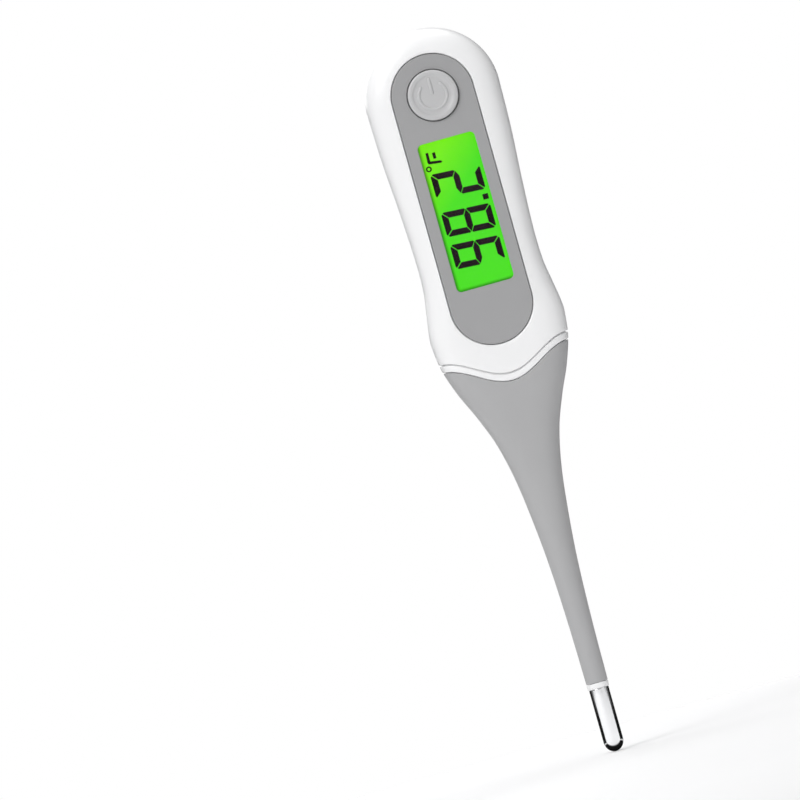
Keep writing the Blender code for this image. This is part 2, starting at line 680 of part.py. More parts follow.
def build_battery():
    tray_low, tray_high = BATTERY_Z - TRAY_RADIUS, BATTERY_Z + TRAY_RADIUS
    top = TRAY_Y + TRAY_HEIGHT
    tray = across(rod("battery_tray", TRAY_RADIUS, TRAY_Y, top, BLACK, 28), 0, BATTERY_Z, 1)
    sides = (-TRAY_HALF_WIDTH, TRAY_HALF_WIDTH), (-FAR, FAR), (tray_low - MM, tray_high + MM)
    keep(tray, block("tray_sides", *sides))
    floor = TRAY_Y + TRAY_FLOOR
    well = rod("tray_well", BATTERY_RADIUS + GAP, floor, FAR, sides=28)
    cut(tray, across(well, 0, BATTERY_Z, 1))
    slot = (-CONTACT_HALF - GAP, CONTACT_HALF + GAP)
    cut(tray, block("contact_slot", slot, (-FAR, FAR), (BATTERY_Z - 7 * MM, BATTERY_Z + 7 * MM)))
    rim = BATTERY_Z - BATTERY_RADIUS
    cut(tray, block("contact_notch", slot, (-FAR, FAR), (tray_low - MM, rim + 0.4 * MM)))

    high = BATTERY_Y + BATTERY_THICKNESS
    edge = 0.3 * MM
    profile = [
        (0, high),
        (BATTERY_RADIUS - edge, high),
        (BATTERY_RADIUS, high - edge),
        (BATTERY_RADIUS, BATTERY_Y + 0.7 * MM),
        (BATTERY_RADIUS - 1.2 * MM, BATTERY_Y),
        (0, BATTERY_Y),
    ]
    across(turned("coin_battery", profile, STEEL, 28), 0, BATTERY_Z, 1)

    near, thick = TRAY_Y, CONTACT_THICKNESS
    lift = BATTERY_Y - GAP - thick
    finger = [(near, -6), (near, 1.5), (lift, 3), (lift, 6)]
    under = [(y, BATTERY_Z + up * MM) for y, up in finger]
    over = [(y + thick, z) for y, z in reversed(under)]
    wide = (-CONTACT_HALF, CONTACT_HALF)
    prism("negative_contact", under + over, *wide, BRASS, sideways=True)
    leg = rim - GAP
    tip = BATTERY_Y + BATTERY_THICKNESS * 0.8
    outline = [
        (near, leg),
        (tip, leg),
        (tip, leg - thick),
        (near + thick, leg - thick),
        (near + thick, leg - CONTACT_FOOT),
        (near, leg - CONTACT_FOOT),
    ]
    prism("positive_contact", outline, *wide, BRASS, sideways=True)


def joint_radius(z):
    """The cup's radius at a bend: its rim meets the stem's side at the cup angle."""
    return half_width(z) / math.cos(CUP_ANGLE)


def ball(z, radius, steps):
    """A ball's lower half below z, from its equator to near its pole: radius, height."""
    last = math.acos((LEAD_RADIUS + LEAD_ROOM) / radius)
    turns = [last * k / steps for k in range(steps + 1)]
    return [(radius * math.cos(a), z - radius * math.sin(a)) for a in turns]


def cup(z, steps):
    """The cup under a bend at z, from its bore up to its rim: radius, height."""
    radius = joint_radius(z)
    first = math.acos((LEAD_RADIUS + LEAD_ROOM) / radius)
    turns = [first + (CUP_ANGLE - first) * k / steps for k in range(steps + 1)]
    return [(radius * math.cos(a), z - radius * math.sin(a)) for a in turns]


def stem_side(high, low, steps=2):
    """Points down the stem's side between two heights, ends left out above and kept below."""
    heights = [high + (low - high) * k / steps for k in range(1, steps + 1)]
    return [(half_width(z), z) for z in heights]


def build_stem():
    bend = FIRST_BEND_Z
    radius = joint_radius(bend) - GAP
    rings = []
    for reach, z in reversed(ball(bend, radius, 4)):
        turns = [2 * math.pi * k / FORM_SIDES for k in range(FORM_SIDES)]
        rings.append([Vector((reach * math.cos(a), reach * math.sin(a), z)) for a in turns])
    top = COLLAR_Z + WAVE_RISE + 2 * MM
    rings += [form_ring(z, 0, -LAND, LAND) for z in form_heights(bend, top, 0)]
    root = loft("stem_root", rings, SOFT_GREY)
    below = [(FAR, 0), (-FAR, 0)]
    keep(root, prism("stem_zone", wave(COLLAR_Z - SEAM) + below, -FAR, FAR))
    low = COLLAR_Z - 9 * MM
    shape = dict(front=FLOOR_BACK, back=CAVITY_BACK)
    cut(root, form("stem_cavity", low, top + 5 * MM, WALL, **shape))
    cut(root, rod("stem_bore", LEAD_RADIUS + LEAD_ROOM, bend - 9 * MM, low + MM, sides=20))

    pivot = None
    for k in range(BEND_JOINTS):
        z = FIRST_BEND_Z - k * BEND_PITCH
        pivot = axis_at(f"bend_{k + 1}", (0, 0, z), pivot)
        socket = cup(z, 3)
        if k < BEND_JOINTS - 1:
            below = z - BEND_PITCH
            lower_ball = ball(below, joint_radius(below) - GAP, 3)
            profile = stem_side(socket[-1][1], below) + lower_ball + socket
            piece = turned(f"stem_segment_{k + 1}", profile, SOFT_GREY, STEM_SIDES)
        else:
            neck_top = TIP_LENGTH + NECK_LENGTH + GAP
            bore = LEAD_RADIUS + LEAD_ROOM
            inside = [
                (NECK_RADIUS + GAP, RING_TOP + SEAM),
                (NECK_RADIUS + GAP, neck_top),
                (bore, neck_top),
            ]
            profile = stem_side(socket[-1][1], RING_TOP + SEAM, 3) + inside + socket
            piece = turned("stem_end", profile, SOFT_GREY, STEM_SIDES)
        hang(pivot, piece)
    return pivot


def build_tip(pivot):
    """The steel tip with its neck in the stem's end, the white ring round it and what it holds."""
    inner = TIP_RADIUS - TIP_WALL
    neck_inner = NECK_RADIUS - TIP_WALL
    shoulder = TIP_LENGTH - SEAM
    neck_top = TIP_LENGTH + NECK_LENGTH
    turns = [math.radians(90 * k / 5) for k in range(6)]
    inside = [(inner * math.sin(a), TIP_RADIUS - inner * math.cos(a)) for a in turns]
    outside = [(TIP_RADIUS * math.sin(a), TIP_RADIUS * (1 - math.cos(a))) for a in turns]
    profile = inside + [
        (inner, shoulder - TIP_WALL),
        (neck_inner, shoulder - TIP_WALL),
        (neck_inner, neck_top),
        (NECK_RADIUS, neck_top),
        (NECK_RADIUS, shoulder),
        (TIP_RADIUS, shoulder),
    ]
    tip = turned("probe_tip", profile + outside[::-1], STEEL)
    low, high = TIP_LENGTH + SEAM, RING_TOP - SEAM
    ring = pipe("seal_ring", RING_RADIUS, NECK_RADIUS + GAP, low, high, WHITE)
    low, high = TIP_WALL + 2 * GAP, BEAD_TOP
    half = (high - low) / 2
    turns = [math.radians(180 * k / 6) for k in range(7)]
    shape = [(BEAD_RADIUS * math.sin(a), low + half + half * math.cos(a)) for a in turns]
    shape[0], shape[-1] = (0, high), (0, low)
    hang(pivot, tip, ring, turned("thermistor_bead", shape, BLACK, 16))


def build_lead():
    """The sensor's lead, up the middle of the stem and over the board's lower end."""
    end = BOARD_LOW + 2.4 * MM
    aside = BOARD_BACK + GAP + LEAD_RADIUS
    turn_low, turn_high = COLLAR_Z, BOARD_LOW - 2 * MM
    start = BEAD_TOP + GAP
    count = round((end - start) / (5 * LEAD_RADIUS))
    curve = bpy.data.curves.new("sensor_lead", "CURVE")
    curve.dimensions = "3D"
    curve.bevel_depth = LEAD_RADIUS
    curve.bevel_resolution = 2
    curve.use_fill_caps = True
    route = curve.splines.new("POLY")
    route.points.add(count)
    for k, point in enumerate(route.points):
        z = start + (end - start) * k / count
        t = min(max((z - turn_low) / (turn_high - turn_low), 0), 1)
        point.co = (0, aside * t * t * (3 - 2 * t), z, 1)
    add("sensor_lead", curve, RUBBER)


for old in list(bpy.data.objects):
    bpy.data.objects.remove(old)
BASE = bpy.data.objects.new("grip_origin", None)
bpy.context.scene.collection.objects.link(BASE)
BASE.location = (0, 0, -WAIST_Z)
PLACES = {}

WHITE = material("white_plastic", (0.86, 0.87, 0.88), 0.35)
GREY = material("grey_plastic", (0.36, 0.36, 0.37), 0.45)
LIGHT_GREY = material("light_grey_plastic", (0.52, 0.52, 0.53), 0.4)
SOFT_GREY = material("soft_grey_rubber", (0.40, 0.40, 0.41), 0.6)
STEEL = material("polished_steel", (0.78, 0.78, 0.79), 0.12, 1.0)
BRASS = material("nickel_spring", (0.75, 0.70, 0.58), 0.3, 1.0)
CLEAR = material("clear_plastic", (0.92, 0.96, 0.92), 0.05, 0.0, 0.4)
LCD = material("lcd_glass", (0.22, 0.85, 0.12), 0.1, 0.0, 0.6)
GREEN = material("circuit_board", (0.03, 0.25, 0.10), 0.4)
BLACK = material("black_epoxy", (0.03, 0.03, 0.03), 0.4)
RED = material("switch_plunger", (0.55, 0.05, 0.04), 0.4)
YELLOW = material("led_resin", (0.85, 0.80, 0.35), 0.3)
TAN = material("ceramic", (0.55, 0.40, 0.25), 0.5)
RUBBER = material("black_rubber", (0.05, 0.05, 0.05), 0.7)

build_shells()
build_collar()
build_face()
build_display()
build_electronics()
build_battery()
build_tip(build_stem())
build_lead()
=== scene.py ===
"""Looks of a digital thermometer with a soft bending stem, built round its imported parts."""

import json
import math

import bmesh
import bpy
from mathutils import Matrix, Vector


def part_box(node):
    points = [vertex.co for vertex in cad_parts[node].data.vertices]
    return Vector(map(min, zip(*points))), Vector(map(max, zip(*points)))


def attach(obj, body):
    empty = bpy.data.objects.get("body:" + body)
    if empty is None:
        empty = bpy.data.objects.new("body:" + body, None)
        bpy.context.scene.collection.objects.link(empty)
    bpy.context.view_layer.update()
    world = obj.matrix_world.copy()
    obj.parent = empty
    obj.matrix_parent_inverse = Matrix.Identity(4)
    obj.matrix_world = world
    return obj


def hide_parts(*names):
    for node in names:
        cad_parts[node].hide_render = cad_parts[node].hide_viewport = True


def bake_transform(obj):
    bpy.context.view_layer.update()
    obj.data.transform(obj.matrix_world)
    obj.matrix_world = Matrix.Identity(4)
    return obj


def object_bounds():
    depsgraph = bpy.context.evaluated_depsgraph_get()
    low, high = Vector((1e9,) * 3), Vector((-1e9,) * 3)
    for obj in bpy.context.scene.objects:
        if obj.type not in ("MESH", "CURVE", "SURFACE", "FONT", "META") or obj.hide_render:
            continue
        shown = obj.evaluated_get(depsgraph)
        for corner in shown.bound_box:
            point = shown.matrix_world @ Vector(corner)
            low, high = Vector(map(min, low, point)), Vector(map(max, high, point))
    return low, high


bl_info = {
    "name": "Digital thermometer looks",
    "version": (1, 0, 0),
    "blender": (4, 5, 0),
    "location": "View3D > Sidebar > Thermometer",
    "description": "Builds the shells, soft stem, display and finishes round the packed parts",
    "category": "Object",
}

MM = 0.001

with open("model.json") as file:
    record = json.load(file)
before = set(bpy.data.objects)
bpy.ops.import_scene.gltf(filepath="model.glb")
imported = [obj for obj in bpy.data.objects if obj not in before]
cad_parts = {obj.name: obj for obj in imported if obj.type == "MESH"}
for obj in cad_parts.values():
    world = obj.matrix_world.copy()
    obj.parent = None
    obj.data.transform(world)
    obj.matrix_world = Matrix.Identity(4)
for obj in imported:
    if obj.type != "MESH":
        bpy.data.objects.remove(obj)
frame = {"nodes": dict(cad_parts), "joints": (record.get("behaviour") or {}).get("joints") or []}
CAD_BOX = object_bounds()


def low(node):
    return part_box(node)[0]


def high(node):
    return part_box(node)[1]


def middle(node):
    return (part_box(node)[0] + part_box(node)[1]) / 2


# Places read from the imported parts, in metres
TIP_END = low("probe_tip").z
SEAM = 0.15 * MM
RING_TOP = high("seal_ring").z + SEAM
LAND = high("back_shell").y
DOOR_LOW = low("battery_door").z
BACK_TOP = high("back_shell").z
PANEL_HALF = high("face_panel").x
PANEL_FACE, PANEL_BACK = low("face_panel").y, high("face_panel").y
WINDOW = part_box("display_window")
GLASS_FACE = low("lcd_front_glass").y
BUTTON = middle("button_cap")
BUTTON_FACE = low("button_cap").y
CAVITY_FRONT = high("display_window").y
CAP_BACK = high("button_cap").y
CAP_FLANGE = high("button_cap").x

# Sizes of the outer form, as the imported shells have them
STEM_LENGTH = 57.9 * MM
HEAD_RADIUS = 12.6 * MM
HALF_DEPTH = 7.0 * MM
WALL = 1.3 * MM
COLLAR_Z = RING_TOP + STEM_LENGTH
HEAD_Z = COLLAR_Z + 67.0 * MM - HEAD_RADIUS
BAND_HEIGHT = 1.3 * MM
GROOVE = 0.26 * MM
WAVE_RISE = 4.6 * MM
WAVE_HALF_WIDTH = HEAD_RADIUS - 0.4 * MM
STEM_FORM = [
    (0.00, 2.05, 2.05),
    (0.20, 2.23, 2.23),
    (0.40, 2.69, 2.69),
    (0.56, 3.48, 3.41),
    (0.70, 4.52, 4.10),
    (0.82, 6.10, 5.00),
    (0.92, 8.30, 5.85),
]
BODY_FORM = [
    (0.0, 10.39, 6.45),
    (5.0, 12.08, 6.85),
    (8.5, 12.60, 7.00),
    (11.0, 12.72, 7.00),
    (16.0, 12.00, 7.00),
    (20.0, 11.42, 7.00),
    (25.6, 11.30, 7.00),
    (36.0, 11.76, 7.00),
    (45.0, 12.33, 7.00),
]
FORM = [(RING_TOP + share * STEM_LENGTH, w * MM, d * MM) for share, w, d in STEM_FORM]
FORM += [(COLLAR_Z + rise * MM, w * MM, d * MM) for rise, w, d in BODY_FORM]
FORM += [(HEAD_Z, HEAD_RADIUS, HALF_DEPTH)]
ROUND_TOP = RING_TOP + 0.45 * STEM_LENGTH
SQUARE_FROM = COLLAR_Z + 10.0 * MM
QUARTER = 22
RING_SIDES = 4 * QUARTER
BENDS = [j for j in frame["joints"] if j["name"].startswith("bend_")]
BEND_HALF = 1.5 * MM
SEGMENTS = [(f"stem_segment_{k + 1}",) for k in range(7)] + [()]
STEM_BORE = 0.8 * MM
LEAD_RADIUS = 0.4 * MM
TONGUE, TONGUE_INSET = 0.25 * MM, 0.55 * MM
HEAD_ROWS = 26

# The face, and the screws with their posts
BUTTON_RADIUS = 4.67 * MM
DISPLAY = ((-5.43 * MM, TIP_END + 89.08 * MM), (5.43 * MM, TIP_END + 117.18 * MM))
FILM_FACE = GLASS_FACE - 0.14 * MM
CASE_SCREWS = ("case_screw_left", "case_screw_right")
FRONT_POST, BACK_POST = 2.3 * MM, 2.9 * MM
SCREW_HOLE, SCREW_SUNK, MOUTH_RADIUS = 1.3 * MM, 1.4 * MM, 2.1 * MM

RANGE_INPUTS = ("Value", "From Min", "From Max", "To Min", "To Max")


def linear(red, green, blue):
    """A display colour of 0 to 255 as the scene's linear numbers."""
    return tuple((c / 255) ** 2.2 for c in (red, green, blue))


class ThermometerSizes(bpy.types.PropertyGroup):
    edge_round: bpy.props.FloatProperty(
        name="Edge rounding",
        description="Radius along the seams of the moulded shells",
        default=0.16 * MM,
        subtype="DISTANCE",
        unit="LENGTH",
    )
    rim_round: bpy.props.FloatProperty(
        name="Rim rounding",
        description="Radius of the shell's edge round the grey panel",
        default=0.32 * MM,
        subtype="DISTANCE",
        unit="LENGTH",
    )
    panel_round: bpy.props.FloatProperty(
        name="Panel rounding",
        description="Radius of the panel's outer edge and of its openings",
        default=0.2 * MM,
        subtype="DISTANCE",
        unit="LENGTH",
    )
    symbol_height: bpy.props.FloatProperty(
        name="Symbol height",
        description="How far the power symbol stands above the button's dish",
        default=0.24 * MM,
        subtype="DISTANCE",
        unit="LENGTH",
    )
    stroke: bpy.props.FloatProperty(
        name="Digit stroke",
        description="Width of the strokes of the display's digits",
        default=1.14 * MM,
        subtype="DISTANCE",
        unit="LENGTH",
    )
    slant: bpy.props.FloatProperty(
        name="Digit slant",
        description="How far a digit leans over for each unit of its height",
        default=0.062,
    )


class ThermometerColours(bpy.types.PropertyGroup):
    shell: bpy.props.FloatVectorProperty(
        name="Shell",
        description="Colour of the shells, the band and the ring above the tip",
        default=(0.895, 0.897, 0.902),
        size=3,
        subtype="COLOR",
    )
    panel: bpy.props.FloatVectorProperty(
        name="Panel",
        description="Colour of the long panel round the display",
        default=linear(160, 160, 161),
        size=3,
        subtype="COLOR",
    )
    button: bpy.props.FloatVectorProperty(
        name="Button",
        description="Colour of the button cap",
        default=linear(192, 192, 193),
        size=3,
        subtype="COLOR",
    )
    stem: bpy.props.FloatVectorProperty(
        name="Stem",
        description="Colour of the soft stem",
        default=linear(172, 172, 173),
        size=3,
        subtype="COLOR",
    )
    lit_high: bpy.props.FloatVectorProperty(
        name="Backlight, near the button",
        description="Colour of the lit display at its end near the button",
        default=linear(114, 234, 4),
        size=3,
        subtype="COLOR",
    )
    lit_low: bpy.props.FloatVectorProperty(
        name="Backlight, far from the button",
        description="Colour of the lit display at its far end",
        default=linear(70, 220, 22),
        size=3,
        subtype="COLOR",
    )
    digits: bpy.props.FloatVectorProperty(
        name="Digits",
        description="Colour of the display's dark strokes",
        default=linear(46, 28, 42),
        size=3,
        subtype="COLOR",
    )


def sizes():
    return bpy.context.scene.thermometer_sizes


def colours():
    return bpy.context.scene.thermometer_colours


# The outer form


def through(column, z):
    """A smooth curve through one column of FORM, at height z."""
    if z <= FORM[0][0]:
        return FORM[0][column]
    if z >= FORM[-1][0]:
        return FORM[-1][column]
    i = max(k for k in range(len(FORM) - 1) if FORM[k][0] <= z)
    before, lower = FORM[max(i - 1, 0)], FORM[i]
    upper, after = FORM[i + 1], FORM[min(i + 2, len(FORM) - 1)]
    span = upper[0] - lower[0]
    slope_low = (upper[column] - before[column]) / (upper[0] - before[0])
    slope_high = (after[column] - lower[column]) / (after[0] - lower[0])
    t = (z - lower[0]) / span
    h = t * t * (3 - 2 * t)
    lean = t * (1 - t) * span * ((1 - t) * slope_low - t * slope_high)
    return (1 - h) * lower[column] + h * upper[column] + lean


def half_width(z):
    if z <= HEAD_Z:
        return through(1, z)
    return math.sqrt(max(HEAD_RADIUS**2 - (z - HEAD_Z) ** 2, 0))


def section_power(z):
    """2 on the round stem, rising smoothly to a squarer section on the body."""
    t = min(max((z - ROUND_TOP) / (SQUARE_FROM - ROUND_TOP), 0), 1)
    return 2 + 2 * t * t * (3 - 2 * t)


def levelled(depth, limit):
    """A depth that runs softly into its limit."""
    soft = 0.25 * MM
    near = max(soft - abs(depth - limit), 0) / soft
    return min(depth, limit) - near * near * soft / 4


def form_point(turn, z, inset, front, back):
    """A point of the outer form; turn counts quarters from +X towards the back."""
    power = section_power(z)
    quarter = math.floor(turn)
    share = turn - quarter
    bend = power / 2
    eased = share**bend / (share**bend + (1 - share) ** bend)
    angle = (quarter + eased) * math.pi / 2
    c, s = math.cos(angle), math.sin(angle)
    above = max(z - HEAD_Z, 0)
    reach = (HEAD_RADIUS if above else half_width(z)) - inset
    width = math.sqrt(max(reach**2 - above**2, 0))
    x = math.copysign(width * abs(c) ** (2 / power), c)
    rest = 1 - ((x * x + above * above) / reach**2) ** (power / 2)
    depth = (through(2, z) - inset) * max(rest, 0) ** (1 / power)
    return Vector((x, math.copysign(levelled(depth, back if s > 0 else front), s), z))


def wave(base):
    """The seam's wave across the body: lowest at the middle, level beyond its ends."""

    def height(x):
        across = min(abs(x), WAVE_HALF_WIDTH) / WAVE_HALF_WIDTH
        return base + WAVE_RISE * (1 - math.cos(math.pi * across)) / 2

    return height


def flat(height):
    return lambda x: height


def settled(turn, share, lift, inset, lower, upper, front, back):
    """A point a share of the way from the lower edge to the upper; past 1 it goes over the head."""
    z = HEAD_Z
    for _ in range(9):
        point = form_point(turn, z, inset, front, back)
        if share > 1:
            z = HEAD_Z + (HEAD_RADIUS - inset) * math.sin((share - 1) * math.pi / 2)
        else:
            z = lower(point.x) + (upper(point.x) - lower(point.x)) * share
        z += lift
    return form_point(turn, z, inset, front, back)


def rounding(radius):
    """Steps round an edge: how far along the wall and how far in."""
    return [(0, radius), (0.29 * radius, 0.29 * radius), (radius, 0)]


# Modelling


def only(obj):
    """Leaves this object alone selected and active."""
    bpy.ops.object.select_all(action="DESELECT")
    obj.select_set(True)
    bpy.context.view_layer.objects.active = obj
    return obj


def outward(obj):
    """Closes doubled points and turns all faces outwards."""
    only(obj)
    bpy.ops.object.mode_set(mode="EDIT")
    bpy.ops.mesh.select_all(action="SELECT")
    bpy.ops.mesh.remove_doubles(threshold=1e-7)
    bpy.ops.mesh.normals_make_consistent(inside=False)
    bpy.ops.object.mode_set(mode="OBJECT")
    return obj


def net(name, rows, rows_meet=False, ends=()):
    """A skin through rows of points, each row a loop; the rows in ends are closed across."""
    bm = bmesh.new()
    made = [[bm.verts.new(point) for point in row] for row in rows]
    count = len(rows[0])
    pairs = list(zip(made, made[1:])) + ([(made[-1], made[0])] if rows_meet else [])
    for under, over in pairs:
        for k in range(count):
            n = (k + 1) % count
            bm.faces.new((under[k], under[n], over[n], over[k]))
    for end in ends:
        row = made[end]
        for k in range(count // 2 - 1):
            bm.faces.new((row[k], row[k + 1], row[-2 - k], row[-1 - k]))
    mesh = bpy.data.meshes.new(name)
    bm.to_mesh(mesh)
    bm.free()
    obj = bpy.data.objects.new(name, mesh)
    bpy.context.scene.collection.objects.link(obj)
    return outward(obj)


def turned(name, profile, axis="Y", centre=(0, 0), sides=64, spread=(0, 0), hollow=False):
    """Turned about an axis from (radius, place along it); spread pushes its quarters apart."""
    bpy.ops.object.select_all(action="DESELECT")
    half_step = math.pi / sides
    if axis == "Y":
        start = (centre[0], profile[0][1], centre[1])
        turn, along, around = (math.pi / 2, half_step, 0), Vector((0, 1, 0)), (1, 0, 1)
    else:
        start = (centre[0], centre[1], profile[0][1])
        turn, along, around = (0, 0, half_step), Vector((0, 0, 1)), (1, 1, 0)
    bpy.ops.mesh.primitive_circle_add(
        vertices=sides,
        radius=profile[0][0],
        fill_type="NOTHING" if hollow else "NGON",
        location=start,
        rotation=turn,
    )
    obj = bpy.context.object
    obj.name = name
    bpy.ops.object.mode_set(mode="EDIT")
    bpy.ops.mesh.select_all(action="SELECT")
    for (radius, place), (wider, further) in zip(profile, profile[1:]):
        step = along * (further - place)
        bpy.ops.mesh.extrude_region_move(TRANSFORM_OT_translate={"value": tuple(step)})
        scale = tuple(wider / radius if k else 1 for k in around)
        centre_now = Vector(start) + along * (further - profile[0][1])
        bpy.ops.transform.resize(value=scale, center_override=tuple(centre_now))
    bpy.ops.object.mode_set(mode="OBJECT")
    bpy.ops.object.transform_apply(location=True, rotation=True, scale=True)
    for v in obj.data.vertices:
        v.co.x += math.copysign(spread[0], v.co.x - centre[0])
        v.co[2 if axis == "Y" else 1] += math.copysign(
            spread[1], v.co[2 if axis == "Y" else 1] - centre[1]
        )
    return outward(obj)


def plate(name, outline, near, far):
    """A flat outline of (x, z) drawn out from depth near to depth far."""
    bpy.ops.object.select_all(action="DESELECT")
    bpy.ops.mesh.primitive_circle_add(vertices=len(outline), radius=1, fill_type="NGON")
    obj = bpy.context.object
    obj.name = name
    for v, (x, z) in zip(obj.data.vertices, outline):
        v.co = (x, near, z)
    bpy.ops.object.mode_set(mode="EDIT")
    bpy.ops.mesh.select_all(action="SELECT")
    bpy.ops.mesh.extrude_region_move(TRANSFORM_OT_translate={"value": (0, far - near, 0)})
    bpy.ops.object.mode_set(mode="OBJECT")
    bpy.ops.object.transform_apply(location=True, rotation=True, scale=True)
    return outward(obj)


def carve(obj, operation, *tools):
    """Cuts the tools from the object or joins them to it, and takes them away."""
    for tool in tools:
        step = obj.modifiers.new("step", "BOOLEAN")
        step.operation = operation
        step.object = tool
        step.solver = "MANIFOLD"
        only(obj)
        bpy.ops.object.modifier_apply(modifier=step.name)
        bpy.data.objects.remove(tool)
    return obj


def smooth(obj, degrees=36):
    only(obj)
    bpy.ops.object.shade_smooth_by_angle(angle=math.radians(degrees))
    return obj


def fit(obj, finish, slot, body, *nodes):
    """Gives a finished piece its material, and the body and nodes that it goes with; the slot
    argument is not used.
    """
    obj.data.materials.clear()
    obj.data.materials.append(finish)
    smooth(obj)
    if body:
        step = obj.modifiers.new("flat faces stay flat", "WEIGHTED_NORMAL")
        step.keep_sharp = True
        only(obj)
        bpy.ops.object.modifier_apply(modifier=step.name)
    if body:
        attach(obj, body)
    if nodes:
        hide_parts(*nodes)
    return obj


def flare(radius, surface, beyond=1.0 * MM):
    """Profile steps of a cutter whose mouth at the surface is rounded outwards: growth, depth."""
    sign = math.copysign(1, surface)
    steps = []
    for k in range(6):
        a = math.radians(18 * k)
        steps.append((radius * (1 - math.cos(a)), surface - sign * radius * (1 - math.sin(a))))
    steps.append((radius * 1.4, surface + sign * 0.02 * MM))
    steps.append((radius * 1.4, surface + sign * beyond))
    return steps


def opening(name, radius, floor, surface, edge, centre, spread=(0, 0), sides=64):
    """A cutter from a floor out through a surface, with a rounded mouth."""
    profile = [(radius, floor)]
    profile += [(radius + grow, depth) for grow, depth in flare(edge, surface)]
    return turned(name, profile, "Y", centre, sides, spread)


def stadium_spread(half, bottom, top):
    """Centre and spread that make a long outline with half-round ends."""
    return (0, (bottom + top) / 2), (0, (top - bottom) / 2 - half)


# The pieces


def half_columns(front):
    """Columns round one half of the case: turn, how far past the seam at least, and inset.

    The front half has a tongue, which crosses the seam just inside so that no light comes through.
    """
    start = 2 if front else 0
    edge = [(start, past, TONGUE_INSET) for past in (-TONGUE, 0)] if front else []
    edge += [(start, past, inset) for past, inset in rounding(sizes().edge_round)]
    inner = [(start + k / QUARTER, edge[-1][1], 0) for k in range(1, 2 * QUARTER)]
    return edge + inner + [(start + 2 - 1e-9, past, inset) for _, past, inset in edge[::-1]]


def half_case(name, front, lower, upper, over_head, spacing=1.2 * MM):
    """One half of the case as a closed wall, with its edges rounded."""
    radius = sizes().edge_round
    sign = -1 if front else 1
    wall_limit = (-CAVITY_FRONT) if front else LAND - WALL
    count = round((upper(0) - lower(0)) / spacing)
    rows = [(0, lift, inset) for lift, inset in rounding(radius)]
    rows += [(k / count, 0, 0) for k in range(1, count)]
    if over_head:
        rows += [(1 + k / HEAD_ROWS, 0, 0) for k in range(HEAD_ROWS + 1)]
    else:
        rows += [(1, -lift, inset) for lift, inset in rounding(radius)[::-1]]
    made = []
    columns = half_columns(front)
    for share, lift, row_inset in rows:
        outer, inner = [], []
        for turn, past, column_inset in columns:
            for side, inset, limit in (
                (outer, max(row_inset, column_inset), LAND),
                (inner, WALL, wall_limit),
            ):
                point = settled(turn, share, lift, inset, lower, upper, limit, limit)
                y = SEAM + past if past < 0 else max(abs(point.y), SEAM + past)
                point.y = sign * y
                side.append(point)
        made.append(outer + inner[::-1])
    return net(name, made, ends=(0,) if over_head else (0, -1))


def ring(share, lift, inset, lower, upper, front=LAND, back=LAND):
    """One loop of points round the form."""
    return [
        settled(k / QUARTER, share, lift, inset, lower, upper, front, back)
        for k in range(RING_SIDES)
    ]


def ring_wall(name, rows, thickness, lower, upper):
    """A closed band round the form between two edges, with a wall of the given thickness."""
    rows = rows + [(rows[end][0], rows[end][1], thickness) for end in (-1, 0)]
    return net(name, [ring(*row, lower, upper) for row in rows], rows_meet=True)


def straight_rows(count, radius_low, radius_high):
    rows = [(0, lift, inset) for lift, inset in rounding(radius_low)]
    rows += [(k / count, 0, 0) for k in range(1, count)]
    return rows + [(1, -lift, inset) for lift, inset in rounding(radius_high)[::-1]]


def post(radius, near, far, x, z):
    return turned("post", [(radius, near), (radius, far)], "Y", (x, z), 32)


def rectangle(x, z, wide, tall):
    """The corners of a rectangle, from its middle and its half sizes."""
    return [(x - wide, z - tall), (x + wide, z - tall), (x + wide, z + tall), (x - wide, z + tall)]


def lens_outline(corner, more=0):
    """Centre and spread of an outline over the window, its corners of this radius."""
    lens_low, lens_high = WINDOW
    half_high = (lens_high.z - lens_low.z) / 2
    spread = (lens_high.x - corner + more, half_high - corner + more)
    return (0, (lens_low.z + lens_high.z) / 2), spread


def screw_mouth(node):
    """A cutter for a screw head sunk in the back, with a rounded mouth."""
    place = middle(node)
    floor = LAND - (LAND - high(node).y + SCREW_SUNK)
    return opening("mouth", MOUTH_RADIUS, floor, LAND, 0.2 * MM, (place.x, place.z), sides=48)


def screw_hole(node, near=-MM, far=LAND):
    """A cutter for the hole that a screw's shank passes."""
    return post(SCREW_HOLE, near, far, middle(node).x, middle(node).z)


def make_front_shell():
    lower = wave(COLLAR_Z + BAND_HEIGHT + GROOVE)
    shell = half_case("front_case", True, lower, flat(HEAD_Z), True)
    gap = 0.13 * MM
    edge = sizes().rim_round
    floor = PANEL_BACK + 0.1 * MM
    centre, spread = stadium_spread(PANEL_HALF, low("face_panel").z, high("face_panel").z)
    pocket = opening("pocket", PANEL_HALF + gap, floor, -LAND, edge, centre, spread, 96)
    corner = 1.0 * MM
    profile = [(corner, CAVITY_FRONT + MM), (corner, -LAND - MM)]
    centre, spread = lens_outline(corner, gap)
    window = turned("window", profile, "Y", centre, 32, spread)
    radius = BUTTON_RADIUS + gap
    profile = [(radius, CAVITY_FRONT + 2 * MM), (radius, -LAND - MM)]
    hole = turned("hole", profile, "Y", (0, BUTTON.z), 64)
    ends = {screw: -0.3 * MM for screw in CASE_SCREWS} | {"door_screw": 1.6 * MM}
    posts = [
        post(FRONT_POST, CAVITY_FRONT - 0.2 * MM, far, middle(screw).x, middle(screw).z)
        for screw, far in ends.items()
    ]
    bores = [screw_hole(screw, low(screw).y - 0.3 * MM, 4 * MM) for screw in ends]
    carve(shell, "UNION", *posts)
    carve(shell, "DIFFERENCE", pocket, window, hole, *bores)
    return fit(shell, shell_finish(), "white_plastic", "housing", "front_shell")


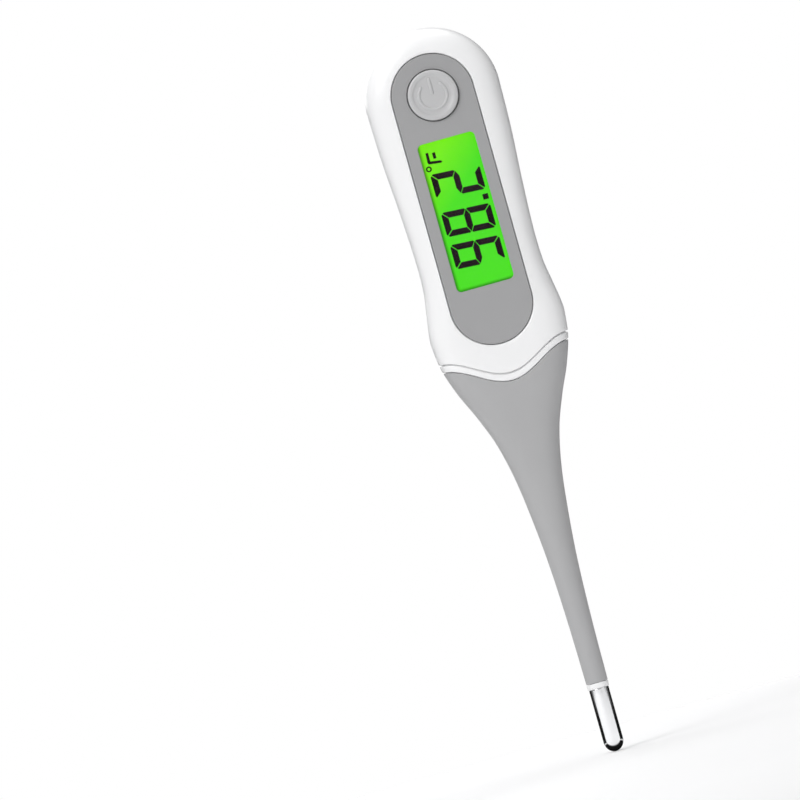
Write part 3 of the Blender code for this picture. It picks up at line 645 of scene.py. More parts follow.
def make_back_shell():
    lower = wave(COLLAR_Z + BAND_HEIGHT + GROOVE)
    shell = half_case("back_case", False, lower, flat(BACK_TOP), False)
    for screw in CASE_SCREWS:
        place = middle(screw)
        far = LAND - WALL + 0.2 * MM
        carve(shell, "UNION", post(BACK_POST, SEAM + 0.01 * MM, far, place.x, place.z))
        carve(shell, "DIFFERENCE", screw_mouth(screw))
        carve(shell, "DIFFERENCE", screw_hole(screw))
    return fit(shell, shell_finish(), "white_plastic", "housing", "back_shell")


def make_battery_door():
    door = half_case("battery_cover", False, flat(DOOR_LOW), flat(HEAD_Z), True)
    place = middle("door_screw")
    far = LAND - WALL + 0.1 * MM
    carve(door, "UNION", post(BACK_POST, 1.9 * MM, far, place.x, place.z))
    carve(door, "DIFFERENCE", screw_mouth("door_screw"))
    carve(door, "DIFFERENCE", screw_hole("door_screw"))
    floor = LAND - 0.33 * MM
    for k in range(5):
        centre = (0, DOOR_LOW + (3.1 + 1.1 * k) * MM)
        width = (5.0 - 0.25 * abs(k - 2)) * MM
        groove = opening("groove", 0.16 * MM, floor, LAND, 0.13 * MM, centre, (width, 0), 24)
        carve(door, "DIFFERENCE", groove)
    return fit(door, shell_finish(), "white_plastic", "battery_door", "battery_door")


def make_band():
    """The white wavy band and the sleeve behind it."""
    top = COLLAR_Z + BAND_HEIGHT
    rows = straight_rows(4, 0.22 * MM, 0.2 * MM)
    band = ring_wall("band", rows, 1.75 * MM, wave(COLLAR_Z + 0.06 * MM), wave(top))
    lip_rows = [(k / 4, 0, 0.45 * MM) for k in range(5)]
    lip_high = wave(top + GROOVE - 0.04 * MM)
    lip = ring_wall("lip", lip_rows, 1.7 * MM, wave(COLLAR_Z - 0.03 * MM), lip_high)
    ends = flat(low("collar_ring").z), flat(high("collar_ring").z)
    walls = [(k / 4, 1.6 * MM) for k in range(5)] + [(1, 2.6 * MM), (0, 2.6 * MM)]
    made = [ring(share, 0, inset, *ends, 4.45 * MM, 5.1 * MM) for share, inset in walls]
    carve(band, "UNION", lip, net("sleeve", made, rows_meet=True))
    return fit(band, shell_finish(), "white_plastic", "housing", "collar_ring")


def make_panel():
    """The long grey panel, with its edges rounded and its window and button hole cut."""
    edge = sizes().panel_round
    bottom, top = low("face_panel").z, high("face_panel").z
    centre, spread = stadium_spread(PANEL_HALF, bottom, top)
    profile = [(PANEL_HALF, PANEL_BACK)]
    for k in range(5):
        a = math.radians(22.5 * k)
        inset = edge * (1 - math.cos(a))
        profile.append((PANEL_HALF - inset, PANEL_FACE + edge * (1 - math.sin(a))))
    panel = turned("panel", profile, "Y", centre, 96, spread)
    corner = 0.95 * MM
    window_low, window_high = DISPLAY
    centre = (0, (window_low[1] + window_high[1]) / 2)
    spread = (window_high[0] - corner, (window_high[1] - window_low[1]) / 2 - corner)
    floor, mouth = PANEL_BACK + MM, 0.12 * MM
    cutter = opening("window", corner, floor, PANEL_FACE, mouth, centre, spread, 48)
    radius = BUTTON_RADIUS + 0.16 * MM
    hole = opening("hole", radius, floor, PANEL_FACE, mouth, (0, BUTTON.z), sides=96)
    carve(panel, "DIFFERENCE", cutter, hole)
    return fit(panel, panel_finish(), "grey_plastic", "housing", "face_panel")


def make_window():
    """The clear window under the panel's opening."""
    near, far = WINDOW[0].y, WINDOW[1].y
    corner, edge = 0.7 * MM, 0.06 * MM
    inner = corner - edge
    profile = [(inner, far), (corner, far - edge), (corner, near + edge), (inner, near)]
    centre, spread = lens_outline(corner)
    window = turned("window_pane", profile, "Y", centre, 32, spread)
    return fit(window, window_finish(), "clear_plastic", "housing", "display_window")


def make_button():
    """The button cap, with a rounded rim, a shallow dish and the power symbol standing in it."""
    face = BUTTON_FACE
    dish = 0.25 * MM
    profile = [
        (CAP_FLANGE, CAP_BACK),
        (CAP_FLANGE, CAP_BACK - 0.7 * MM),
        (BUTTON_RADIUS, CAP_BACK - 0.7 * MM),
        (BUTTON_RADIUS, face + 0.3 * MM),
        (BUTTON_RADIUS - 0.05 * MM, face + 0.16 * MM),
        (BUTTON_RADIUS - 0.16 * MM, face + 0.05 * MM),
        (BUTTON_RADIUS - 0.32 * MM, face),
        (BUTTON_RADIUS - 0.75 * MM, face),
        (BUTTON_RADIUS - 0.9 * MM, face + 0.05 * MM),
        (BUTTON_RADIUS - 1.05 * MM, face + 0.17 * MM),
        (BUTTON_RADIUS - 1.2 * MM, face + dish),
        (BUTTON_RADIUS - 1.5 * MM, face + dish),
        (1.2 * MM, face + dish + 0.05 * MM),
    ]
    cap = turned("cap", profile, "Y", (0, BUTTON.z), 96)
    seat = face + dish + 0.1 * MM
    top = face + dish + 0.05 * MM - sizes().symbol_height
    width = 0.37 * MM
    arc_radius = 2.6 * MM
    gap_angle = math.radians(36)
    rows = []
    steps = 56
    for k in range(steps + 1):
        a = math.pi / 2 + gap_angle + (2 * math.pi - 2 * gap_angle) * k / steps
        taper = min(1, (0.35 + min(k, steps - k)) / 1.6)
        half = width * taper
        rise = (seat - top) * taper
        section = [(-1, 0), (-0.55, 0.75), (-0.25, 1), (0.25, 1), (0.55, 0.75), (1, 0)]
        rows.append([
            Vector((
                (arc_radius + half * across) * math.cos(a),
                seat - rise * lift,
                BUTTON.z + (arc_radius + half * across) * math.sin(a),
            ))
            for across, lift in section
        ])
    arc = net("arc", rows, ends=(0, -1))
    bar_profile = [(width, seat), (width * 0.55, seat - (seat - top) * 0.75), (width * 0.25, top)]
    bar = turned("bar", bar_profile, "Y", (0, BUTTON.z + 1.75 * MM), 16, (0, 1.3 * MM))
    carve(cap, "UNION", arc, bar)
    return fit(cap, button_finish(), "light_grey_plastic", "button", "button_cap")


# The display


def stroke_shapes(width, height, stroke, gap):
    """Outlines of the seven strokes of a digit, keyed as displays name them."""
    w, h, t, g = width, height, stroke, gap
    m = h / 2
    c = t * 0.34
    top = [
        (c + g, h), (w - c - g, h), (w - c / 2 - g, h - c / 2),
        (w - t - g, h - t), (t + g, h - t), (c / 2 + g, h - c / 2),
    ]
    left = [
        (0, h - c - g), (c / 2, h - c / 2 - g), (t, h - t - g),
        (t, m + t / 2 + g), (c / 2, m + g), (0, m + c / 2 + g),
    ]
    bar = [
        (g * 1.6, m), (t + g, m + t / 2), (w - t - g, m + t / 2),
        (w - g * 1.6, m), (w - t - g, m - t / 2), (t + g, m - t / 2),
    ]
    return {
        "a": top,
        "b": [(w - u, v) for u, v in left],
        "c": [(w - u, h - v) for u, v in left],
        "d": [(u, h - v) for u, v in top],
        "e": [(u, h - v) for u, v in left],
        "f": left,
        "g": bar,
    }


STROKES = {"2": "abged", "8": "abcdefg", "9": "abcdfg"}


def make_readout():
    """The reading's dark strokes, read from the tip towards the button, on the lit display."""
    near = FILM_FACE - 0.05 * MM
    far = FILM_FACE - 0.01 * MM
    height, width = 9.24 * MM, 4.62 * MM
    slant = sizes().slant
    base = 4.77 * MM
    shapes = stroke_shapes(width, height, sizes().stroke, 0.1 * MM)
    outlines = []
    for digit, start in (("9", 92.8), ("8", 98.95), ("2", 106.25)):
        for key in STROKES[digit]:
            outlines.append([
                (base - v, TIP_END + start * MM + u + v * slant) for u, v in shapes[key]
            ])
    dot = 0.52 * MM
    x, z = 4.34 * MM, TIP_END + 104.9 * MM
    outlines.append(rectangle(x, z, dot, dot))
    letter = [
        [
            (0.10, 0.0), (0.34, 0.35), (0.62, 2.18), (2.28, 2.16), (2.28, 2.66),
            (0.5, 2.74), (0.2, 2.6), (0.12, 2.3), (-0.12, 0.3),
        ],
        [(0.92, 0.92), (2.06, 0.90), (2.06, 1.46), (0.92, 1.48)],
    ]
    for outline in letter:
        outlines.append([
            (-(1.56 + v) * MM, TIP_END + (113.2 + u) * MM) for u, v in outline
        ])
    made = [plate("stroke", outline, near, far) for outline in outlines]
    ring_centre = (-4.38 * MM, TIP_END + 112.5 * MM)
    ring = [(0.54, near), (0.54, far), (0.27, far), (0.27, near), (0.54, near)]
    ring = [(r * MM, y) for r, y in ring]
    made.append(turned("degree", ring, "Y", ring_centre, 32, hollow=True))
    bpy.ops.object.select_all(action="DESELECT")
    for obj in made:
        obj.select_set(True)
    bpy.context.view_layer.objects.active = made[0]
    bpy.ops.object.join()
    readout = bpy.context.object
    readout.name = "readout"
    return fit(readout, digit_finish(), "black_epoxy", "housing")


def make_film():
    """The lit film that fills the window's view, just in front of the display's glass."""
    corner = 0.7 * MM
    centre, spread = lens_outline(corner, 0.1 * MM)
    profile = [(corner, FILM_FACE + 0.08 * MM), (corner, FILM_FACE)]
    film = turned("lit_film", profile, "Y", centre, 32, spread)
    return fit(film, lit_finish(), "lcd_glass", "housing")


# The stem and the tip


def make_stem_root():
    """The wide part of the soft stem, from the band down to the first bend."""
    bottom = BENDS[0]["pos_m"][2] + BEND_HALF
    wall, deep = 1.35 * MM, COLLAR_Z - 9 * MM
    rows = [(k / 44, 0, 0) for k in range(44)]
    rows += [(1, -lift, inset) for lift, inset in rounding(0.2 * MM)[::-1]]
    rows.append((1, 0, wall))
    made = [ring(*row, flat(bottom), wave(COLLAR_Z - 0.06 * MM)) for row in rows]
    made.append([form_point(k / QUARTER, deep, wall, LAND, LAND) for k in range(RING_SIDES)])
    turns = [k / QUARTER * math.pi / 2 for k in range(RING_SIDES)]
    for z in (deep, bottom):
        made.append([Vector((STEM_BORE * math.cos(a), STEM_BORE * math.sin(a), z)) for a in turns])
    root = net("soft_stem_root", made, rows_meet=True)
    return fit(root, stem_finish(), "soft_grey_rubber", "housing", "stem_root")


def stem_tube(name, bottom, top, rows, round_foot=False):
    """A length of the round stem, closed, with the lead's bore up its middle."""
    step = (top - bottom) / rows
    profile = [(half_width(top - k * step), top - k * step) for k in range(rows + 1)]
    if round_foot:
        radius, z = profile[-1]
        profile[-1] = (radius, z + 0.06 * MM)
        profile += [(radius - 0.018 * MM, z + 0.018 * MM), (radius - 0.06 * MM, z)]
    profile += [(STEM_BORE, bottom), (STEM_BORE, top), profile[0]]
    return turned(name, profile, "Z", sides=56, hollow=True)


def blend_across(piece):
    """Bakes a piece's place into its mesh; nothing here blends it from one body to the next."""
    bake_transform(piece)


def make_stem_bends():
    """A short sleeve across each bend."""
    for k, joint in enumerate(BENDS):
        z = joint["pos_m"][2]
        sleeve = stem_tube(f"soft_stem_{k + 1}", z - BEND_HALF, z + BEND_HALF, 14)
        fit(sleeve, stem_finish(), "soft_grey_rubber", None, *SEGMENTS[k])
        blend_across(sleeve)


def make_stem_end():
    last = BENDS[-1]["pos_m"][2] - BEND_HALF
    end = stem_tube("soft_stem_end", RING_TOP + 0.04 * MM, last, 18, round_foot=True)
    return fit(end, stem_finish(), "soft_grey_rubber", "probe_end", "stem_end")


def make_tip():
    """The steel tip: a drawn cup with a round end, a rolled shoulder and a neck in the stem."""
    top, radius = high("probe_tip").z, high("probe_tip").x
    shoulder = low("seal_ring").z - 0.18 * MM
    neck = 1.3 * MM
    inner = neck - 0.3 * MM
    profile = []
    for k in range(1, 17):
        a = math.radians(90 * k / 16)
        profile.append((radius * math.sin(a), TIP_END + radius * 1.12 * (1 - math.cos(a))))
    profile[0] = (0.05 * MM, TIP_END)
    profile += [
        (radius, shoulder - 1.0 * MM),
        (radius, shoulder - 0.18 * MM),
        (radius, shoulder - 0.1 * MM),
        (radius - 0.03 * MM, shoulder - 0.03 * MM),
        (radius - 0.1 * MM, shoulder),
        (neck + 0.1 * MM, shoulder),
        (neck, shoulder + 0.1 * MM),
        (neck, top - 0.1 * MM),
        (neck - 0.05 * MM, top),
    ]
    tip = turned("tip", profile, "Z", sides=72)
    bore = turned("bore", [(inner, TIP_END + 0.7 * MM), (inner, top + MM)], "Z", sides=48)
    carve(tip, "DIFFERENCE", bore)
    return fit(tip, steel_finish(), "polished_steel", "probe_end", "probe_tip")


def make_seal_ring():
    bottom, top = low("seal_ring").z - 0.14 * MM, high("seal_ring").z + 0.11 * MM
    radius, bore = high("seal_ring").x, 1.6 * MM
    edge = 0.08 * MM
    profile = [
        (bore, bottom), (radius - edge, bottom), (radius - 0.024 * MM, bottom + 0.024 * MM),
        (radius, bottom + edge), (radius, top - edge), (radius - 0.024 * MM, top - 0.024 * MM),
        (radius - edge, top), (bore, top), (bore, bottom),
    ]
    ring = turned("tip_ring", profile, "Z", sides=64, hollow=True)
    return fit(ring, shell_finish(), "white_plastic", "probe_end", "seal_ring")


def lead_tube(name, bottom, top, rows):
    step = (top - bottom) / rows
    profile = [(LEAD_RADIUS, top - k * step) for k in range(rows + 1)]
    return turned(name, profile, "Z", sides=16)


def make_lead():
    """The sensor's lead in lengths: one across each bend, a foot and a top."""
    ends = [joint["pos_m"][2] for joint in BENDS]
    for k, joint in enumerate(BENDS):
        piece = lead_tube(f"lead_{k + 1}", ends[k] - BEND_HALF, ends[k] + BEND_HALF, 8)
        fit(piece, rubber_finish(), "black_rubber", None)
        blend_across(piece)
    foot = lead_tube("lead_foot", low("sensor_lead").z, ends[-1] - BEND_HALF, 6)
    fit(foot, rubber_finish(), "black_rubber", "probe_end")
    lead_low, lead_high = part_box("sensor_lead")
    rows = []
    turn_low, turn_high = COLLAR_Z, low("circuit_board").z - 2 * MM
    aside = lead_high.y - LEAD_RADIUS
    bottom = ends[0] + BEND_HALF
    for k in range(41):
        z = bottom + (lead_high.z - bottom) * k / 40
        t = min(max((z - turn_low) / (turn_high - turn_low), 0), 1)
        centre = Vector((0, aside * t * t * (3 - 2 * t), z))
        rows.append([
            centre + LEAD_RADIUS * Vector((math.cos(a), math.sin(a), 0))
            for a in [2 * math.pi * n / 16 for n in range(16)]
        ])
    top = net("lead_top", rows, ends=(0, -1))
    return fit(top, rubber_finish(), "black_rubber", "housing", "sensor_lead")


# Fasteners and cell


def make_screws():
    """The three pan-head screws, each with a rounded head, a cross recess and a thread."""
    for node, body in (
        ("case_screw_left", "housing"),
        ("case_screw_right", "housing"),
        ("door_screw", "door_screw"),
    ):
        place, bottom, top = middle(node), low(node).y, high(node).y
        head = high(node).x - place.x
        under = top - 1.1 * MM
        shank = 1.0 * MM
        profile = [
            (head * 0.25, top), (head * 0.6, top - 0.03 * MM), (head * 0.82, top - 0.12 * MM),
            (head * 0.95, top - 0.28 * MM), (head, top - 0.5 * MM), (head, under + 0.1 * MM),
            (head - 0.08 * MM, under), (shank, under),
        ]
        pitch = 0.55 * MM
        turns = int((under - bottom - 1.2 * MM) / pitch)
        for k in range(turns):
            y = under - 0.4 * MM - k * pitch
            profile += [(shank * 0.74, y), (shank, y - pitch * 0.5)]
        profile += [(shank * 0.7, bottom + 0.7 * MM), (shank * 0.5, bottom)]
        screw = turned("screw_" + node.split("_")[-1], profile, "Y", (place.x, place.z), 48)
        arm, half, deep = 1.0 * MM, 0.2 * MM, 0.7 * MM
        for wide, tall in ((arm, half), (half, arm)):
            cross = rectangle(place.x, place.z, wide, tall)
            carve(screw, "DIFFERENCE", plate("slot", cross, top - deep, top + MM))
        fit(screw, screw_finish(), "polished_steel", body, node)


def make_cell():
    """The coin cell: a crimped can with a stepped smaller face; its dark gasket line is not drawn.
    """
    place, bottom, top = middle("coin_battery"), low("coin_battery").y, high("coin_battery").y
    radius = high("coin_battery").x
    profile = [
        (radius - 0.3 * MM, top), (radius - 0.1 * MM, top - 0.08 * MM),
        (radius, top - 0.3 * MM), (radius, bottom + 0.9 * MM),
        (radius - 0.15 * MM, bottom + 0.65 * MM), (radius - 0.7 * MM, bottom + 0.5 * MM),
        (radius - 1.0 * MM, bottom + 0.5 * MM), (radius - 1.1 * MM, bottom + 0.3 * MM),
        (radius - 1.3 * MM, bottom),
    ]
    cell = turned("coin_cell", profile, "Y", (place.x, place.z), 96)
    for wide, tall in ((1.6 * MM, 0.25 * MM), (0.25 * MM, 1.6 * MM)):
        cross = rectangle(0, place.z, wide, tall)
        carve(cell, "DIFFERENCE", plate("mark", cross, top - 0.06 * MM, top + MM))
    return fit(cell, cell_finish(), "polished_steel", "housing", "coin_battery")


# Finishes


def wire(tree, source, target):
    tree.links.new(source, target)


def node(tree, kind, **values):
    made = tree.nodes.new(kind)
    for name, value in values.items():
        if name in made.bl_rna.properties:
            setattr(made, name, value)
        else:
            made.inputs[name.replace("_", " ")].default_value = value
    return made


def feed(tree, socket, value):
    """Gives a socket a number or another node's output."""
    if isinstance(value, bpy.types.NodeSocket):
        wire(tree, value, socket)
    else:
        socket.default_value = value


def ranged(tree, value, start, end, low=0.0, high=1.0, kind="SMOOTHSTEP"):
    """Runs from low to high while the value runs from start to end."""
    made = node(tree, "ShaderNodeMapRange", interpolation_type=kind)
    for name, number in zip(RANGE_INPUTS, (value, start, end, low, high)):
        feed(tree, made.inputs[name], number)
    return made.outputs["Result"]


def maths(tree, operation, *values, clamp=False):
    made = node(tree, "ShaderNodeMath", operation=operation, use_clamp=clamp)
    for socket, value in zip(made.inputs, values):
        feed(tree, socket, value)
    return made.outputs[0]


def scaled(tree, colour, factor):
    made = node(tree, "ShaderNodeVectorMath", operation="SCALE")
    wire(tree, colour, made.inputs[0])
    feed(tree, made.inputs["Scale"], factor)
    return made.outputs["Vector"]


def picked(tree, factor, first, second):
    """Goes from the first shader to the second by a factor."""
    made = node(tree, "ShaderNodeMixShader")
    for source, socket in zip((factor, first, second), made.inputs):
        wire(tree, source, socket)
    return made.outputs[0]


def surface_group():
    """Fine moulded grain as a height, a slow change of tone and a slow change of gloss."""
    if "moulded_surface" in bpy.data.node_groups:
        return bpy.data.node_groups["moulded_surface"]
    tree = bpy.data.node_groups.new("moulded_surface", "ShaderNodeTree")
    tree.interface.new_socket("Vector", in_out="INPUT", socket_type="NodeSocketVector")
    for socket in ("Grain", "Tone Size", "Gloss Size"):
        tree.interface.new_socket(socket, in_out="INPUT", socket_type="NodeSocketFloat")
    for socket in ("Height", "Tone", "Gloss"):
        tree.interface.new_socket(socket, in_out="OUTPUT", socket_type="NodeSocketFloat")
    given = node(tree, "NodeGroupInput").outputs
    out = node(tree, "NodeGroupOutput").inputs
    fine = node(tree, "ShaderNodeTexNoise", Detail=3.0, Roughness=0.6)
    pits = node(tree, "ShaderNodeTexVoronoi", Randomness=1.0)
    tone = node(tree, "ShaderNodeTexNoise", Detail=2.0, Roughness=0.5)
    gloss = node(tree, "ShaderNodeTexNoise", Detail=4.0, Roughness=0.55)
    scales = ((fine, "Grain"), (pits, "Grain"), (tone, "Tone Size"), (gloss, "Gloss Size"))
    for texture, scale in scales:
        wire(tree, given["Vector"], texture.inputs["Vector"])
        wire(tree, given[scale], texture.inputs["Scale"])
    shallow = maths(tree, "MULTIPLY", pits.outputs["Distance"], 0.45)
    wire(tree, maths(tree, "ADD", fine.outputs["Fac"], shallow), out["Height"])
    wire(tree, ranged(tree, tone.outputs["Fac"], 0.3, 0.7, kind="LINEAR"), out["Tone"])
    wire(tree, ranged(tree, gloss.outputs["Fac"], 0.35, 0.65, kind="LINEAR"), out["Gloss"])
    return tree


def moulded(
    name, colour, change, rough, grain=3200.0, bump=0.006, tone=55.0, gloss=260.0, **more
):
    """A moulded finish: its colour darkens by change, its roughness runs from rough[0] to [1]."""
    if name in bpy.data.materials:
        return bpy.data.materials[name]
    made = bpy.data.materials.new(name)
    made.use_nodes = True
    tree = made.node_tree
    shader = tree.nodes["Principled BSDF"]
    place = node(tree, "ShaderNodeTexCoord")
    surface = node(tree, "ShaderNodeGroup", node_tree=surface_group())
    for size, value in (("Grain", grain), ("Tone Size", tone), ("Gloss Size", gloss)):
        surface.inputs[size].default_value = value
    wire(tree, place.outputs["Object"], surface.inputs["Vector"])
    mix = node(tree, "ShaderNodeMix", data_type="RGBA")
    for socket in mix.inputs:
        if socket.type == "RGBA":
            scale = (1 - change) if socket.identifier.startswith("B") else 1
            socket.default_value = (*[c * scale for c in colour], 1)
    wire(tree, surface.outputs["Tone"], mix.inputs["Factor"])
    result = [s for s in mix.outputs if s.type == "RGBA"][0]
    wire(tree, result, shader.inputs["Base Color"])
    spread = ranged(tree, surface.outputs["Gloss"], 0.0, 1.0, *rough, kind="LINEAR")
    wire(tree, spread, shader.inputs["Roughness"])
    bumps = node(tree, "ShaderNodeBump", Strength=0.5, Distance=bump * MM)
    wire(tree, surface.outputs["Height"], bumps.inputs["Height"])
    wire(tree, bumps.outputs["Normal"], shader.inputs["Normal"])
    for key, value in more.items():
        shader.inputs[key.replace("_", " ")].default_value = value
    return made


def shell_finish():
    return moulded("white_shell", colours().shell, 0.004, (0.285, 0.30), 4200.0, 0.0004, 30.0)


def panel_finish():
    return moulded("grey_panel", colours().panel, 0.03, (0.42, 0.5), 5200.0, 0.002, 60.0)


def button_finish():
    return moulded("button_grey", colours().button, 0.03, (0.34, 0.42), 4800.0, 0.002, 120.0)


def stem_finish():
    return moulded(
        "soft_stem", colours().stem, 0.03, (0.5, 0.6), 3600.0, 0.003, 50.0, 260.0,
        Sheen_Weight=0.15, Sheen_Roughness=0.45,
    )


def steel_finish():
    tint, rough = (0.93, 0.935, 0.945), (0.03, 0.075)
    return moulded("steel_tip", tint, 0.03, rough, 900.0, 0.0006, 240.0, Metallic=1.0)


def screw_finish():
    tint, rough = (0.72, 0.72, 0.73), (0.2, 0.34)
    return moulded("steel_screw", tint, 0.1, rough, 2600.0, 0.003, 500.0, Metallic=1.0)


def cell_finish():
    tint, rough = (0.80, 0.80, 0.81), (0.16, 0.3)
    return moulded("steel_cell", tint, 0.06, rough, 1500.0, 0.002, 120.0, Metallic=1.0)


def rubber_finish():
    return moulded("black_rubber_soft", (0.03, 0.03, 0.031), 0.3, (0.6, 0.75), 2600.0, 0.01, 120.0)


def digit_finish():
    tint, rough = colours().digits, (0.6, 0.7)
    return moulded("digit_black", tint, 0.12, rough, 5000.0, 0.001, 200.0, Specular_IOR_Level=0.1)


def window_finish():
    """Clear plastic with a faint uneven gloss."""
    name = "window_clear"
    if name in bpy.data.materials:
        return bpy.data.materials[name]
    made = moulded(name, (0.985, 0.99, 0.985), 0.01, (0.0, 0.03), 300.0, 0.0003, 60.0)
    shader = made.node_tree.nodes["Principled BSDF"]
    shader.inputs["Transmission Weight"].default_value = 1.0
    shader.inputs["IOR"].default_value = 1.15
    return made


def lit_finish():
    """The lit green of the display, yellower near the button, with painted shade darkening it along
    two of its edges.
    """
    name = "lit_display"
    if name in bpy.data.materials:
        return bpy.data.materials[name]
    made = bpy.data.materials.new(name)
    made.use_nodes = True
    tree = made.node_tree
    shader = tree.nodes["Principled BSDF"]
    place = node(tree, "ShaderNodeTexCoord").outputs["Object"]
    parts = node(tree, "ShaderNodeSeparateXYZ")
    wire(tree, place, parts.inputs["Vector"])
    x, z = parts.outputs["X"], parts.outputs["Z"]
    (left_edge, foot_edge), (right_edge, head_edge) = DISPLAY
    across = ranged(tree, x, right_edge, left_edge, kind="LINEAR")
    along = ranged(tree, z, foot_edge + 6 * MM, head_edge, kind="LINEAR")
    sideways = maths(tree, "MULTIPLY_ADD", across, 1.15, -1.75)
    total = maths(tree, "MULTIPLY_ADD", along, 2.2, sideways, clamp=True)
    ramp = node(tree, "ShaderNodeValToRGB")
    for stop, colour in zip(ramp.color_ramp.elements, (colours().lit_low, colours().lit_high)):
        stop.color = (*colour, 1)
    wire(tree, total, ramp.inputs["Fac"])
    # Painted shade: the glow darkens towards the left and foot edges, where the panel's opening
    # would shade it.
    left = ranged(tree, x, left_edge, left_edge + 0.75 * MM, 0.35)
    foot = ranged(tree, z, foot_edge, foot_edge + 0.75 * MM, 0.35)
    cells = node(tree, "ShaderNodeTexNoise", Scale=2600.0, Detail=2.0)
    wire(tree, place, cells.inputs["Vector"])
    uneven = ranged(tree, cells.outputs["Fac"], 0.0, 1.0, 0.97, 1.03, "LINEAR")
    # The glow times the painted shade and a faint random unevenness.
    glow_and_painted_shade = maths(tree, "MULTIPLY", maths(tree, "MULTIPLY", left, foot), uneven)
    wire(tree, scaled(tree, ramp.outputs["Color"], glow_and_painted_shade), shader.inputs["Emission Color"])
    wire(tree, scaled(tree, ramp.outputs["Color"], 0.04), shader.inputs["Base Color"])
    shader.inputs["Emission Strength"].default_value = 1.0
    shader.inputs["Roughness"].default_value = 0.4
    return made


def board_finish():
    """Green solder mask over copper tracks."""
    name = "board_green"
    if name in bpy.data.materials:
        return bpy.data.materials[name]
    made = moulded(name, (0.015, 0.16, 0.05), 0.2, (0.25, 0.4), 3000.0, 0.004, 200.0)
    tree = made.node_tree
    shader = tree.nodes["Principled BSDF"]
    place = next(n for n in tree.nodes if n.type == "TEX_COORD")
    base = shader.inputs["Base Color"].links[0].from_socket
    black, white = (0, 0, 0, 1), (1, 1, 1, 1)
    tracks = node(tree, "ShaderNodeTexBrick", Scale=420.0, Mortar_Size=0.06)
    for socket, colour in (("Color1", black), ("Color2", black), ("Mortar", white)):
        tracks.inputs[socket].default_value = colour
    turn = node(tree, "ShaderNodeMapping", Rotation=(math.pi / 2, 0, 0))
    wire(tree, place.outputs["Object"], turn.inputs["Vector"])
    wire(tree, turn.outputs["Vector"], tracks.inputs["Vector"])
    over = node(tree, "ShaderNodeMix", data_type="RGBA")
    pale = [s for s in over.inputs if s.type == "RGBA"]
    wire(tree, tracks.outputs["Color"], over.inputs["Factor"])
    wire(tree, base, pale[0])
    pale[1].default_value = (0.10, 0.34, 0.10, 1)
    wire(tree, [s for s in over.outputs if s.type == "RGBA"][0], shader.inputs["Base Color"])
    return made


def inner_finishes():
    """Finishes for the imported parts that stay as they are, by node."""
    black = moulded("black_moulded", (0.022, 0.022, 0.024), 0.25, (0.35, 0.5), 2800.0, 0.006, 180.0)
    tint, rough = (0.74, 0.70, 0.60), (0.22, 0.36)
    nickel = moulded("nickel_strip", tint, 0.12, rough, 2400.0, 0.003, 400.0, Metallic=1.0)
    glass = moulded("display_glass", (0.5, 0.72, 0.45), 0.05, (0.02, 0.06), 600.0, 0.0005, 90.0)
    guide = moulded("guide_clear", (0.75, 0.9, 0.72), 0.04, (0.15, 0.25), 900.0, 0.001, 90.0)
    resin = moulded("led_yellow", (0.8, 0.72, 0.25), 0.1, (0.25, 0.35), 2000.0, 0.002, 300.0)
    ceramic = moulded("ceramic_tan", (0.48, 0.34, 0.2), 0.15, (0.45, 0.6), 2600.0, 0.004, 400.0)
    red = moulded("plunger_red", (0.45, 0.04, 0.03), 0.1, (0.35, 0.45), 2600.0, 0.003, 300.0)
    finishes = {
        "lcd_frame": shell_finish(), "lcd_front_glass": glass, "lcd_rear_glass": glass,
        "light_guide": guide, "circuit_board": board_finish(), "controller_blob": black,
        "buzzer": black, "tactile_switch": black, "battery_tray": black,
        "chip_resistor_left": black, "chip_resistor_right": black, "chip_capacitor": ceramic,
        "elastomer_connector": rubber_finish(), "case_seal": rubber_finish(),
        "thermistor_bead": black, "positive_contact": nickel, "negative_contact": nickel,
        "switch_plunger": red,
    }
    for side in ("left", "middle", "right"):
        finishes[f"backlight_led_{side}"] = resin
    return finishes


# The stage


def look_from(obj, place, target):
    obj.location = place
    obj.rotation_euler = (Vector(target) - Vector(place)).to_track_quat("-Z", "Y").to_euler()


def softbox(name, place, size, power, target=(0, 0, -0.02), tall=None):
    bpy.ops.object.light_add(type="AREA", location=place)
    lamp = bpy.context.object
    lamp.name = name
    lamp.data.shape = "RECTANGLE"
    lamp.data.size = size
    lamp.data.size_y = tall or size
    lamp.data.energy = power
    look_from(lamp, place, target)
    return lamp


def make_world():
    """White to the camera; to the pieces a room that is brighter above and in front."""
    world = bpy.data.worlds.new("studio")
    bpy.context.scene.world = world
    world.use_nodes = True
    tree = world.node_tree
    tree.nodes.clear()
    out = node(tree, "ShaderNodeOutputWorld")
    white = node(tree, "ShaderNodeBackground", Color=(1, 1, 1, 1))
    room = node(tree, "ShaderNodeBackground")
    camera_ray = node(tree, "ShaderNodeLightPath").outputs["Is Camera Ray"]
    parts = node(tree, "ShaderNodeSeparateXYZ")
    wire(tree, node(tree, "ShaderNodeTexCoord").outputs["Generated"], parts.inputs["Vector"])
    rise = ranged(tree, parts.outputs["Z"], -0.35, 0.75, 0.22, 0.66)
    back = ranged(tree, parts.outputs["Y"], -0.1, 0.5, 1.0, 0.06)
    wire(tree, maths(tree, "MULTIPLY", rise, back), room.inputs["Strength"])
    seen = picked(tree, camera_ray, room.outputs[0], white.outputs[0])
    wire(tree, seen, out.inputs["Surface"])


